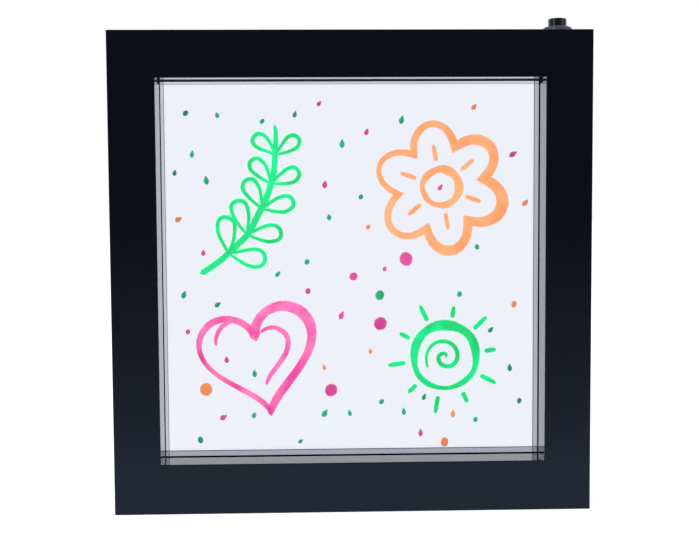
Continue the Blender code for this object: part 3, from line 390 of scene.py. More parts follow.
def tone_drift_group():
    """A slow drift between two tones, as pigment and handling leave it."""
    group, entry, leave = new_group(
        "tone_drift",
        [
            ("Tone", "NodeSocketColor", (0.5, 0.5, 0.5, 1)),
            ("Other Tone", "NodeSocketColor", (0.6, 0.6, 0.6, 1)),
            ("Patch Size", "NodeSocketFloat", 0.03),
        ],
        [("Color", "NodeSocketColor"), ("Drift", "NodeSocketFloat")],
    )
    noise = own_noise(group, maths(group, "DIVIDE", 1.0, entry.outputs["Patch Size"]))
    tone, other_tone, mixed = colour_mix(group, noise)
    group.links.new(entry.outputs["Tone"], tone)
    group.links.new(entry.outputs["Other Tone"], other_tone)
    group.links.new(mixed, leave.inputs["Color"])
    group.links.new(noise, leave.inputs["Drift"])
    return group


def edge_wear_group():
    """A mask of the rounded edges, broken up by noise, where handling polishes them."""
    group, entry, leave = new_group(
        "edge_wear",
        [("Reach", "NodeSocketFloat", 0.0006), ("Amount", "NodeSocketFloat", 0.5)],
        [("Wear", "NodeSocketFloat")],
    )
    bevel = add_node(group, "ShaderNodeBevel", {"samples": 4}, Radius=entry.outputs["Reach"])
    surface = add_node(group, "ShaderNodeNewGeometry")
    bend = dot_product(group, bevel.outputs["Normal"], surface.outputs["Normal"])
    edge = remap(group, bend, 1.0, 0.9)
    patchy = remap(group, own_noise(group, 260.0), 0.4, 0.6, 0.2)
    worn = maths(group, "MULTIPLY", edge, patchy)
    group.links.new(maths(group, "MULTIPLY", worn, entry.outputs["Amount"]), leave.inputs["Wear"])
    return group


GRAIN = moulded_grain_group()
DRIFT = tone_drift_group()
WEAR = edge_wear_group()


# Finishes


def new_material(name, **sockets):
    made = bpy.data.materials.new(name)
    made.use_nodes = True
    shader = made.node_tree.nodes["Principled BSDF"]
    for socket, value in sockets.items():
        shader.inputs[socket.replace("_", " ")].default_value = value
    return made, made.node_tree, shader


def group_node(tree, group, **inputs):
    made = tree.nodes.new("ShaderNodeGroup")
    made.node_tree = group
    for name, value in inputs.items():
        made.inputs[name.replace("_", " ")].default_value = value
    return made.outputs


def band_mask(tree, axis, low, high):
    """1 where the object's own coordinate lies between two values."""
    return maths(tree, "COMPARE", own_axes(tree)[axis], (low + high) / 2, (high - low) / 2)


DRIFT_LOW, DRIFT_HIGH = 0.3, 0.7  # what the drift mostly lies between
PLASTIC_PATCH = 0.04
PLASTIC_BUMP = 0.5
WORN_REACH = 0.0005
WORN_GLOSS = 0.08


def plastic(
    name, tone, other, roughness, grain_size, grain_height, plate=None, shaded=None, coat=0.0, **sockets
):
    """Moulded plastic: drifting pigment, fine grain and edges that handling has polished.

    plate gives (y, roughness, grain height): what lies behind that y is textured so, without a coat.
    shaded gives (x, y, y, z, z, roughness): what lies between -x and x, y and y, z and z is made dull
    and uncoated so that it reflects little and shows dark, a painted shade.
    """
    made, tree, shader = new_material(name, **sockets)
    drift = group_node(tree, DRIFT, Tone=(*tone, 1), Other_Tone=(*other, 1), Patch_Size=PLASTIC_PATCH)
    tree.links.new(drift["Color"], shader.inputs["Base Color"])
    worn = group_node(tree, WEAR, Reach=WORN_REACH, Amount=0.5)["Wear"]
    rough = remap(tree, drift["Drift"], DRIFT_LOW, DRIFT_HIGH, roughness * 0.85, roughness * 1.15)
    gloss = maths(tree, "SUBTRACT", rough, maths(tree, "MULTIPLY", worn, WORN_GLOSS))
    height = group_node(tree, GRAIN, Grain_Size=grain_size)["Height"]
    bump = add_node(tree, "ShaderNodeBump", Strength=PLASTIC_BUMP, Distance=grain_height)
    if plate:
        behind_y, plate_roughness, plate_height = plate
        behind = maths(tree, "GREATER_THAN", own_axes(tree)["Y"], behind_y)
        gloss = remap(tree, behind, 0.0, 1.0, gloss, plate_roughness)
        bump.inputs["Distance"].default_value = plate_height
        share = remap(tree, behind, 0.0, 1.0, grain_height / plate_height, 1.0)
        height = maths(tree, "MULTIPLY", height, share)
        coat = remap(tree, behind, 0.0, 1.0, coat, 0.0)
    # painted shade: the masked band turns dull and loses its coat so that it shows dark
    if shaded:
        half_x, low_y, high_y, low_z, high_z, dull = shaded
        inside = band_mask(tree, "X", -half_x, half_x)
        for axis, low, high in (("Y", low_y, high_y), ("Z", low_z, high_z)):
            inside = maths(tree, "MULTIPLY", inside, band_mask(tree, axis, low, high))
        gloss = remap(tree, inside, 0.0, 1.0, gloss, dull)
        coat = remap(tree, inside, 0.0, 1.0, coat, 0.0)
    if plate or shaded:
        tree.links.new(coat, shader.inputs["Coat Weight"])
    tree.links.new(gloss, shader.inputs["Roughness"])
    tree.links.new(height, bump.inputs["Height"])
    tree.links.new(bump.outputs["Normal"], shader.inputs["Normal"])
    return made


METAL_PATCH = 0.002
METAL_GRAIN = 0.0004
METAL_GRAIN_HEIGHT = 0.000002


def metal(name, tone, other, roughness):
    made, tree, shader = new_material(name, Metallic=1.0)
    drift = group_node(tree, DRIFT, Tone=(*tone, 1), Other_Tone=(*other, 1), Patch_Size=METAL_PATCH)
    tree.links.new(drift["Color"], shader.inputs["Base Color"])
    rough = remap(tree, drift["Drift"], DRIFT_LOW, DRIFT_HIGH, roughness * 0.8, roughness * 1.25)
    tree.links.new(rough, shader.inputs["Roughness"])
    height = group_node(tree, GRAIN, Grain_Size=METAL_GRAIN)["Height"]
    bump = add_node(tree, "ShaderNodeBump", Height=height, Distance=METAL_GRAIN_HEIGHT)
    tree.links.new(bump.outputs["Normal"], shader.inputs["Normal"])
    return made


ACRYLIC_TONE = (0.888, 0.912, 0.982, 1)
ACRYLIC_IOR = 1.49


def clear_acrylic(name, smoothest, roughest):
    """Acrylic sheet; wiping and handling leave its gloss a little uneven."""
    made, tree, shader = new_material(
        name, Base_Color=ACRYLIC_TONE, IOR=ACRYLIC_IOR, Transmission_Weight=1.0
    )
    drift = group_node(tree, DRIFT, Patch_Size=0.05)["Drift"]
    tree.links.new(remap(tree, drift, 0.5, 0.7, smoothest, roughest), shader.inputs["Roughness"])
    return made


INK_POOLS = 90.0  # the scale of the noise in which ink pools, and of its ragged edge
INK_FRAY = 1400.0
INK_FRAY_REACH = 0.12
INK_BUMP = 0.00001


def ink(name, core, edge, painted_glow, solid=1.0, least=1.0, rim=(0.12, 0.62)):
    """Marker ink with a painted glow, an emission in its own colour: its edge thins out, its colour pools
    and its cover varies along the stroke.
    """
    made, tree, shader = new_material(name, Roughness=0.45, Emission_Strength=painted_glow)
    depth = add_node(tree, "ShaderNodeAttribute", {"attribute_name": "ink_depth"}).outputs["Fac"]
    pool, fine = own_noise(tree, INK_POOLS), own_noise(tree, INK_FRAY)
    ragged = remap(tree, fine, DRIFT_LOW, DRIFT_HIGH, -INK_FRAY_REACH, INK_FRAY_REACH)
    cover = remap(tree, maths(tree, "ADD", depth, ragged), *rim, kind="SMOOTHSTEP")
    patches = remap(tree, pool, 0.4, 0.6, least, solid)
    tree.links.new(maths(tree, "MULTIPLY", cover, patches), shader.inputs["Alpha"])
    first, second, mixed = colour_mix(tree, remap(tree, pool, 0.35, 0.65))
    first.default_value = (*core, 1)
    second.default_value = (*edge, 1)
    tree.links.new(mixed, shader.inputs["Base Color"])
    # painted glow: the ink's colour is also its emission, so it shines though it is no lamp
    tree.links.new(mixed, shader.inputs["Emission Color"])
    bump = add_node(tree, "ShaderNodeBump", Height=fine, Distance=INK_BUMP)
    tree.links.new(bump.outputs["Normal"], shader.inputs["Normal"])
    return made


REVEAL_BAND = 0.0016  # to either side of the opening's top edge, where the reveal has its painted shade
TOP_REVEAL = (OPENING_HIGH - REVEAL_BAND, OPENING_HIGH + REVEAL_BAND)
HOUSING_BLACK = plastic(
    "housing_black",
    (0.0036, 0.0046, 0.0086),
    (0.0046, 0.0056, 0.0098),
    0.1,
    0.0006,
    0.000001,
    # painted shade: the top reveal from y -0.0085 to 0 is made dull so that it shows as a dark line
    shaded=(OPENING_HALF, -0.0085, 0.0, *TOP_REVEAL, 0.95),
    coat=0.3,
    Coat_Roughness=0.03,
)
COVER_BLACK = plastic(
    "cover_black",
    (0.009, 0.010, 0.013),
    (0.012, 0.013, 0.016),
    0.05,
    0.0005,
    0.000001,
    plate=(COVER_PLATE_Y, 0.5, 0.00005),
    coat=1.0,
    Coat_Roughness=0.03,
)
COLLAR_BLACK = plastic("collar_black", (0.056, 0.066, 0.086), (0.064, 0.075, 0.098), 0.42, 0.0004, 0.000004)
BUTTON_BLACK = plastic(
    "button_black", (0.006, 0.009, 0.013), (0.008, 0.011, 0.016), 0.24, 0.0004, 0.000004
)
BOARD_WHITE = plastic("board_white", (0.78, 0.78, 0.76), (0.82, 0.82, 0.8), 0.5, 0.0004, 0.000008)
LED_CREAM = plastic("led_cream", (0.9, 0.85, 0.5), (0.92, 0.88, 0.6), 0.35, 0.0003, 0.000004)
RESISTOR_DARK = plastic("resistor_dark", (0.03, 0.03, 0.03), (0.04, 0.04, 0.04), 0.45, 0.0003, 0.00001)
CELL_WRAP = plastic("cell_wrap", (0.02, 0.03, 0.045), (0.025, 0.035, 0.05), 0.28, 0.002, 0.00001)
WIRE_RED = plastic("wire_red", (0.5, 0.02, 0.02), (0.55, 0.03, 0.02), 0.42, 0.0006, 0.00001)
WIRE_BLACK = plastic("wire_black", (0.014, 0.014, 0.015), (0.018, 0.018, 0.018), 0.45, 0.0006, 0.00001)
SPRING_STEEL = metal("spring_steel", (0.6, 0.6, 0.58), (0.66, 0.65, 0.62), 0.25)
SCREW_STEEL = metal("screw_steel", (0.5, 0.5, 0.52), (0.58, 0.57, 0.56), 0.34)
BRASS = metal("terminal_brass", (0.7, 0.5, 0.2), (0.74, 0.56, 0.26), 0.3)
CLEAR = clear_acrylic("clear_acrylic", 0.0, 0.0)
SAWN_ACRYLIC = clear_acrylic("sawn_acrylic_edge", 0.22, 0.4)
CELL_STEEL = metal("cell_steel", (0.62, 0.61, 0.58), (0.68, 0.67, 0.64), 0.22)
CELL_BAND = plastic("cell_band", (0.45, 0.46, 0.47), (0.5, 0.5, 0.51), 0.3, 0.0006, 0.000004)
LED_WHITE = plastic("led_white", (0.8, 0.8, 0.78), (0.84, 0.84, 0.82), 0.35, 0.0003, 0.000004)
SOLDER = metal("solder", (0.62, 0.62, 0.6), (0.7, 0.7, 0.68), 0.28)
# the last number of each ink is its painted glow, an emission strength
INK_DARK_GREEN = ink("ink_dark_green", (0.0, 0.34, 0.13), (0.01, 0.52, 0.24), 0.15)
INK_DARK_PINK = ink("ink_dark_pink", (0.62, 0.04, 0.25), (0.85, 0.08, 0.36), 0.15)
INK_DARK_ORANGE = ink("ink_dark_orange", (0.88, 0.24, 0.08), (1.0, 0.32, 0.10), 0.15)

INK_ORANGE = ink("ink_orange", (1.0, 0.33, 0.12), (1.0, 0.44, 0.19), 0.2)
INK_GREEN = ink("ink_green", (0.0, 0.62, 0.14), (0.0, 0.85, 0.28), 0.2)
INK_PINK = ink("ink_pink", (0.85, 0.05, 0.32), (1.0, 0.22, 0.52), 0.2)
# painted glow: a pale green halo that shines round the green strokes
GLOW_GREEN = ink("ink_green_glow", (0.4, 1.0, 0.56), (0.55, 1.0, 0.68), 0.3, 0.8, 0.15, rim=(0.05, 1.2))

PAINTS = {
    "housing_black": HOUSING_BLACK,
    "cover_black": COVER_BLACK,
    "wire_red": WIRE_RED,
    "wire_black": WIRE_BLACK,
}


# Camera, light and floor


def camera():
    fwd = Vector(
        (
            math.sin(CAMERA_YAW) * math.cos(CAMERA_PITCH),
            math.cos(CAMERA_YAW) * math.cos(CAMERA_PITCH),
            -math.sin(CAMERA_PITCH),
        )
    )
    level_right = Vector((math.cos(CAMERA_YAW), -math.sin(CAMERA_YAW), 0))
    level_up = level_right.cross(fwd)
    right = math.cos(CAMERA_ROLL) * level_right + math.sin(CAMERA_ROLL) * level_up
    up = -math.sin(CAMERA_ROLL) * level_right + math.cos(CAMERA_ROLL) * level_up
    bpy.ops.object.camera_add()
    made = bpy.context.object
    made.matrix_world = Matrix.Translation(CAMERA_PLACE) @ Matrix((right, up, -fwd)).transposed().to_4x4()
    made.data.sensor_width = SENSOR_WIDTH
    made.data.lens = FOCAL_PIXELS / PHOTO_WIDTH * SENSOR_WIDTH
    made.data.clip_start = 0.01
    bpy.context.scene.camera = made


GLOSS_TONE = (0.90, 0.91, 1.0)  # of the bright backdrop as the frame mirrors it
FLOOR_TONE = (0.26, 0.33, 0.55)  # of the floor before the board as the frame mirrors it


PLAIN_WORLD_TONE = (0.96, 0.98, 1.0, 1)
PLAIN_WORLD_STRENGTH = 0.75
GLOSS_RISE = (-0.35, 0.85)  # how far to the back a mirrored direction points where the gloss rises
WHITE = (1, 1, 1, 1)


def mix_shaders(tree, share, first, second):
    return add_node(tree, "ShaderNodeMixShader", i0=share, i1=first, i2=second).outputs[0]


def world():
    """White for the camera and through the panel; for gloss bright behind the board, dark before it."""
    room = bpy.data.worlds.new("studio")
    bpy.context.scene.world = room
    room.use_nodes = True
    tree = room.node_tree
    tree.nodes.clear()
    way = add_node(tree, "ShaderNodeTexCoord").outputs["Generated"]
    shade = remap(tree, dot_product(tree, way, (0.0, 1.0, 0.0)), *GLOSS_RISE, kind="SMOOTHSTEP")
    rays = add_node(tree, "ShaderNodeLightPath").outputs
    plain = add_node(tree, "ShaderNodeBackground", Color=PLAIN_WORLD_TONE, Strength=PLAIN_WORLD_STRENGTH)
    gloss = add_node(tree, "ShaderNodeBackground", Color=(*GLOSS_TONE, 1), Strength=shade)
    white = add_node(tree, "ShaderNodeBackground", Color=WHITE, Strength=1.0)
    lit = mix_shaders(tree, rays["Is Glossy Ray"], plain.outputs[0], gloss.outputs[0])
    through = maths(tree, "MAXIMUM", rays["Is Camera Ray"], rays["Is Transmission Ray"])
    seen = mix_shaders(tree, through, lit, white.outputs[0])
    out = tree.nodes.new("ShaderNodeOutputWorld")
    tree.links.new(seen, out.inputs["Surface"])


BOARD_MIDDLE = (0, 0, 0.1)
LAMPS = (  # name, place, target, size and power
    ("key_lamp", (-0.9, -0.75, 1.15), BOARD_MIDDLE, 0.7, 6),
    ("fill_lamp", (1.1, -0.6, 0.8), BOARD_MIDDLE, 0.8, 3),
    ("strip_lamp", (-0.93, -0.64, 0.41), (0.09, 0, 0.22), 0.3, 0.9),
)


def lamp(name, place, target, size, power):
    bpy.ops.object.light_add(type="AREA", location=place)
    made = bpy.context.object
    made.name = name
    made.data.shape = "DISK"
    made.data.size = size
    made.data.energy = power
    made.rotation_euler = (Vector(target) - Vector(place)).to_track_quat("-Z", "Y").to_euler()


FLOOR_FADE = 0.19  # how fast the mirrored floor darkens away from the board, and from where
FLOOR_NEAR = 0.09
FLOOR_TURN = 0.1  # how far behind the board the mirrored floor is as bright as the backdrop
FLOOR_LIFT = 0.55
FLOOR_SIZE = 12


def floor_paint():
    """Pale floor: white to the camera where no shadow falls, darker away in front for gloss."""
    made, tree, shader = new_material(
        "pale_floor", Base_Color=(0.8, 0.81, 0.83, 1), Roughness=0.9, Specular_IOR_Level=0.0
    )
    rays = add_node(tree, "ShaderNodeLightPath").outputs
    lift = add_node(tree, "ShaderNodeEmission", Color=WHITE, Strength=FLOOR_LIFT)
    lit = add_node(tree, "ShaderNodeAddShader", i0=shader.outputs[0], i1=lift.outputs[0])
    y = own_axes(tree)["Y"]
    nearest = FLOOR_FADE + FLOOR_NEAR
    away = maths(tree, "MAXIMUM", maths(tree, "SUBTRACT", FLOOR_FADE, y), nearest)
    fade = maths(tree, "DIVIDE", nearest, away)
    before = add_node(tree, "ShaderNodeEmission", Color=(*FLOOR_TONE, 1), Strength=fade)
    behind = add_node(tree, "ShaderNodeEmission", Color=(*GLOSS_TONE, 1), Strength=1.0)
    sheen = mix_shaders(tree, remap(tree, y, 0.0, FLOOR_TURN), before.outputs[0], behind.outputs[0])
    plain = mix_shaders(tree, rays["Is Camera Ray"], shader.outputs[0], lit.outputs[0])
    mirrored = mix_shaders(tree, rays["Is Glossy Ray"], plain, sheen)
    white = add_node(tree, "ShaderNodeEmission", Color=WHITE, Strength=1.0)
    final = mix_shaders(tree, rays["Is Transmission Ray"], mirrored, white.outputs[0])
    tree.links.new(final, tree.nodes["Material Output"].inputs["Surface"])
    return made


def floor():
    deselect()
    bpy.ops.mesh.primitive_plane_add(size=FLOOR_SIZE, location=(0, 0, 0))
    made = current("floor")
    made.data.materials.append(floor_paint())


# Inks on the panel


def brush_stroke(points, closed=False):
    """One stroke; points hold (x, z, half width) on the panel's face."""
    halves = [half for x, z, half in points]
    return round_bar([(x, PANEL_FACE, z) for x, z, half in points], halves, closed)


def flatten_ink(made, thickness):
    """Keeps each stroke's own depth as an attribute, then presses the strokes flat on the panel."""
    depth = made.data.attributes.new("ink_depth", "FLOAT", "POINT")
    depth.data.foreach_set("value", [max(0.0, -vertex.normal.y) for vertex in made.data.vertices])
    choose(made)
    edit_all()
    bpy.ops.mesh.bisect(plane_co=(0, PANEL_FACE, 0), plane_no=(0, 1, 0), use_fill=True, clear_outer=True)
    bpy.ops.mesh.select_all(action="SELECT")
    bpy.ops.transform.resize(value=(1, thickness, 1), center_override=(0, PANEL_FACE, 0))
    bpy.ops.transform.translate(value=(0, -INK_LIFT, 0))
    leave_edit()
    return smooth_shade(made, INK_SMOOTH)


INK_SMOOTH = math.radians(60)
INK_LIFT = 0.00002
INK_FLATNESS = 0.04
GLOW_FLATNESS = 0.008
GLOW_REACH = 0.0011
WAVER = 0.00028  # how far a drawn line strays at most, and as a share of its length
WAVER_SHARE = 0.0025


def by_hand(points, closed=False):
    """Lets a drawn line waver a little, as a hand does."""
    count = len(points) - (0 if closed else 1)
    phase = 40 * (points[0][0] + points[0][1])
    length = sum(math.dist(a, b) for a, b in zip(points, points[1:]))
    reach = min(WAVER, WAVER_SHARE * length)
    made = []
    for index, (x, z) in enumerate(points):
        way = 2 * math.pi * index / count
        aside = math.sin(3 * way + phase) + 0.6 * math.sin(5 * way + 2 * phase)
        upward = math.cos(2 * way + 3 * phase) + 0.6 * math.sin(4 * way + phase)
        made.append((x + reach * aside, z + reach * upward))
    return made


def tapered(points, half, start=0.35, end=0.35):
    """Adds a brush's half widths to (x, z) points: thin, rounded ends and a fuller middle."""
    count = len(points) - 1
    made = []
    for index, (x, z) in enumerate(by_hand(points)):
        share = index / count
        swell = math.sin(math.pi * share) ** 0.5
        ends = start * (1 - share) + end * share
        made.append((x, z, half * (ends + (1 - ends) * swell) if 0 < index < count else half * ends * 0.3))
    return made


def arc_points(centre, radius, first, last, count=40):
    """(x, z) points along an arc, in degrees."""
    made = []
    for index in range(count + 1):
        angle = math.radians(first + (last - first) * index / count)
        made.append((centre[0] + radius * math.cos(angle), centre[1] + radius * math.sin(angle)))
    return made


def tilted(centre, x, z, degrees):
    """(x, z) turned about the origin, then moved to the centre."""
    turn = math.radians(degrees)
    return (
        centre[0] + x * math.cos(turn) - z * math.sin(turn),
        centre[1] + x * math.sin(turn) + z * math.cos(turn),
    )


def heart_points(centre, size, tilt, count=72):
    """A heart's outline from its usual curve, 32 units wide, from the notch round to the notch."""
    unit = size / 32
    made = []
    for index in range(count + 1):
        t = 2 * math.pi * index / count
        x = unit * 16 * math.sin(t) ** 3
        z = unit * (13 * math.cos(t) - 5 * math.cos(2 * t) - 2 * math.cos(3 * t) - math.cos(4 * t))
        made.append(tilted(centre, x, z, tilt))
    return made


def flower_points(centre, radius, petals, depth, tilt, count=120):
    """A flower's outline, whose petals dip by a share of its radius."""
    made = []
    for index in range(count):
        angle = 2 * math.pi * index / count
        reach = radius * (1 - depth + depth * abs(math.sin(petals * angle / 2)) ** 0.8)
        made.append(tilted(centre, reach * math.cos(angle), reach * math.sin(angle), tilt))
    return made


def ray_points(centre, degrees, near, length, count=12):
    """A short straight line that points away from the centre."""
    return [tilted(centre, near + length * step / count, 0, degrees) for step in range(count + 1)]


def pressed(points, half, swell, phase):
    """Half widths of a closed stroke, swelling once round as a pen's pressure does."""
    count = len(points)
    return [
        (
            x,
            z,
            half
            * (1 + swell * math.sin(2 * math.pi * index / count + phase))
            * (1 + 0.12 * math.sin(10 * math.pi * index / count + 2 * phase)),
        )
        for index, (x, z) in enumerate(by_hand(points, True))
    ]


def pink_paths():
    """The heart at the lower left, with a line inside and a short shine."""
    centre, size, inner, tilt = (-0.044, 0.072), 0.054, 0.030, 12
    shine_centre, shine_radius = (-0.054, 0.078), 0.010
    return [
        (pressed(heart_points(centre, size, tilt)[:-1], 0.0020, 0.35, 0.6), True),
        (tapered(heart_points(centre, inner, tilt)[7:34], 0.0014), False),
        (tapered(arc_points(shine_centre, shine_radius, 80, 190), 0.0012), False),
    ]


def orange_paths():
    """The flower at the upper right, with its eye and a line in each petal."""
    centre, radius, petals, depth, tilt = (0.042, 0.150), 0.030, 6, 0.36, 10
    eye, vein_near, vein_length = 0.0085, 0.0122, 0.0080
    strokes = [
        (pressed(flower_points(centre, radius, petals, depth, tilt), 0.0022, 0.3, 2.0), True),
        (pressed(arc_points(centre, eye, 0, 355, 48), 0.0018, 0.25, 1.0), True),
    ]
    for index in range(petals):
        vein = ray_points(centre, tilt + (index + 0.5) * 360 / petals, vein_near, vein_length)
        strokes.append((tapered(vein, 0.0012, 0.8, 0.3), False))
    return strokes


def sprig_paths():
    """The sprig at the upper left: a bowed stem with leaves in pairs."""
    stem_centre, stem_radius, count = (-0.103, 0.170), 0.068, 60
    leaf_reach, leaf_spread = 0.0185, 52
    stem = arc_points(stem_centre, stem_radius, -62, 8, count)
    paths = [(tapered(stem, 0.0017, 0.9, 0.4), False)]
    for share in (0.2, 0.36, 0.52, 0.68, 0.84):
        root, ahead = stem[int(share * count)], stem[int(share * count) + 1]
        along = math.degrees(math.atan2(ahead[1] - root[1], ahead[0] - root[0]))
        for side in (-1, 1):
            leaf = leaf_points(root, leaf_reach * (1 - 0.35 * share), along + side * leaf_spread)
            paths.append((tapered(leaf, 0.0011, 0.6, 0.5), False))
    return paths


def sun_paths():
    """The sun at the lower right: a ring with a spiral inside and long and short rays."""
    centre, radius, spiral, turns = (0.044, 0.070), 0.0150, 0.0095, 1.6
    rays, tilt, near, far_ends = 10, 8, 0.0188, (0.0245, 0.0275)
    paths = [
        (pressed(arc_points(centre, radius, 0, 354, 60), 0.0019, 0.35, 0.0), True),
        (tapered(spiral_points(centre, spiral, turns), 0.0012), False),
    ]
    for index in range(rays):
        line = ray_points(centre, tilt + index * 360 / rays, near, far_ends[index % 2] - near)
        paths.append((tapered(line, 0.0012, 0.9, 0.3), False))
    return paths


def leaf_points(root, reach, heading, count=26):
    """A leaf's outline: out along one bow and back along the other."""
    made = []
    for index in range(count + 1):
        share = index / count
        fullness = 0.9 if share <= 0.5 else 1
        along = reach * math.sin(math.pi * share) ** fullness
        across = 0.24 * reach * math.sin(2 * math.pi * share)
        made.append(tilted(root, along, across, heading))
    return made


def spiral_points(centre, radius, turns, count=60):
    return [
        (
            centre[0] + radius * index / count * math.cos(2 * math.pi * turns * index / count),
            centre[1] + radius * index / count * math.sin(2 * math.pi * turns * index / count),
        )
        for index in range(count + 1)
    ]


def drawings():
    """The drawings, a pale halo with a painted glow round the green ones, and the drops between them."""
    paths = {"pink": pink_paths(), "orange": orange_paths(), "green": sprig_paths() + sun_paths()}
    paints = {"pink": INK_PINK, "orange": INK_ORANGE, "green": INK_GREEN}
    taken = []
    for name, drawn in paths.items():
        strokes = [brush_stroke(points, closed) for points, closed in drawn]
        fit(flatten_ink(join_pieces("drawing_" + name, strokes), INK_FLATNESS), paints[name])
        taken += [(x, z) for points, closed in drawn for x, z, half in points]
    # a wider, thinner copy of each green stroke carries the painted glow
    painted_glow = [
        brush_stroke([(x, z, half + GLOW_REACH) for x, z, half in points], closed)
        for points, closed in paths["green"]
    ]
    fit(flatten_ink(join_pieces("glow_green", painted_glow), GLOW_FLATNESS), GLOW_GREEN)
    drops(taken)


# The switch on top

SWITCH_LOW, SWITCH_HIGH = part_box("switch_bushing")
SWITCH_X = (SWITCH_LOW.x + SWITCH_HIGH.x) / 2
FRAME_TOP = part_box("front_housing")[1].z
CAP_LOW, CAP_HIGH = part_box("button_cap")


def switch_collar():
    """The domed collar with its threaded barrel and the bore that guides the cap."""
    radius = (SWITCH_HIGH.x - SWITCH_LOW.x) / 2
    under = FRAME_TOP + 0.00015
    side_top, top_radius, lip = FRAME_TOP + 0.0013, 0.0052, 0.00012
    guide, bore, barrel = 0.00445, 0.00495, 0.0059
    guide_z = FRAME_TOP - 0.001
    dome = ring_arc((top_radius, side_top), (radius - top_radius, SWITCH_HIGH.z - side_top), 0, 84, 12)
    thread = []
    pitch, groove = 0.0005, 0.00025
    z = SWITCH_LOW.z + 0.001
    while z < under - 0.0012:
        thread += [(barrel - groove, z + pitch / 2), (barrel, z + pitch)]
        z += pitch
    profile = [
        (barrel - groove, SWITCH_LOW.z),
        (barrel, SWITCH_LOW.z + groove),
        (barrel, SWITCH_LOW.z + 0.001),
        *thread,
        (barrel, under),
        (radius - lip, under),
        (radius, under + lip),
        *dome,
        (guide + lip, SWITCH_HIGH.z),
        (guide, SWITCH_HIGH.z - lip),
        (guide, guide_z),
        (bore, guide_z),
        (bore, SWITCH_LOW.z),
        (barrel - groove, SWITCH_LOW.z),
    ]
    made = smooth_shade(placed(turned("switch_collar", profile, 96, hollow=True), (SWITCH_X, 0, 0)))
    fit(made, COLLAR_BLACK, ("switch_bushing",), "root")


def push_cap():
    """The button's cap: rounded rim and a shallow dish for the fingertip."""
    radius = (CAP_HIGH.x - CAP_LOW.x) / 2
    rounding, foot, dish = 0.0005, 0.00015, 0.00012
    rim = ring_arc((radius - rounding, CAP_HIGH.z - rounding), (rounding, rounding), 0, 90, 8)
    hollow_steps = [
        (share * (radius - rounding), CAP_HIGH.z - dish * (1 - share ** 2))
        for share in (0.85, 0.65, 0.45, 0.25, 0.08)
    ]
    profile = [(radius - foot, CAP_LOW.z), (radius, CAP_LOW.z + foot), *rim, *hollow_steps]
    made = smooth_shade(placed(turned("push_cap", profile, 96), (SWITCH_X, 0, 0)))
    fit(made, BUTTON_BLACK, ("button_cap",), "button")


def return_coil():
    """The spring under the plunger; on the real switch it shortens as the button goes down, while this coil
    keeps one length.
    """
    low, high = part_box("return_spring")
    wire = 0.0005
    radius = (high.x - low.x) / 2 - wire / 2
    start, end = Vector((SWITCH_X, 0, low.z + wire / 2)), Vector((SWITCH_X, 0, high.z - wire / 2))
    made = coil("return_coil", start, end, radius, radius, 6.5, wire)
    made.data.materials.append(SPRING_STEEL)
    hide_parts("return_spring")
    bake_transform(made)


# Lights behind the panel's side edges


def led_piece(name, node, side):
    """A white package with a cream lens in its cup and four solder legs."""
    low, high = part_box(node)
    lit_x = low.x if side > 0 else high.x
    seat_x = high.x if side > 0 else low.x
    rise = abs(lit_x - seat_x) * 0.93
    rounding, rim, cup, smallest_front = 0.00012, 0.00045, 0.0003, 0.000004
    lens_rise, lens_share = 0.0004, 0.36
    leg_inset, leg_half, leg_reach, leg_low, leg_high = 0.0006, 0.0003, 0.0003, 0.00002, 0.0003
    shell = block("shell", (0, low.y, low.z), (rise, high.y, high.z), rounding)
    choose_none()
    for face in shell.data.polygons:
        face.select = face.normal.x > 0.99 and face.area > smallest_front
    edit()
    bpy.ops.mesh.inset(thickness=rim)
    bpy.ops.transform.translate(value=(-cup, 0, 0))
    leave_edit()
    shell.data.materials.append(LED_WHITE)
    middle = (low + high) / 2
    deselect()
    bpy.ops.mesh.primitive_uv_sphere_add(segments=24, ring_count=12, radius=1, location=(0, 0, 0))
    lens = current("lens")
    lens.scale = (lens_rise, (high.y - low.y) * lens_share, (high.z - low.z) * lens_share)
    lens.location = (rise - cup, middle.y, middle.z)
    settle(lens)
    lens.data.materials.append(LED_CREAM)
    smooth_shade(lens)
    legs = []
    for y in (low.y + leg_inset, high.y - leg_inset):
        for z, out in ((low.z, -leg_reach), (high.z, leg_reach)):
            first, last = sorted((z, z + out))
            leg = block("leg", (leg_low, y - leg_half, first), (leg_high, y + leg_half, last), 0.00004)
            leg.data.materials.append(SOLDER)
            legs.append(leg)
    made = join_pieces(name, [shell, lens, *legs])
    if side > 0:
        made.rotation_euler = (0, 0, math.pi)
        made.location = (0, 2 * middle.y, 0)
        settle(made)
    placed(made, (seat_x, 0, 0))
    edit_all()
    bpy.ops.mesh.normals_make_consistent(inside=False)
    leave_edit()
    fit(made, None, (node,), "root")


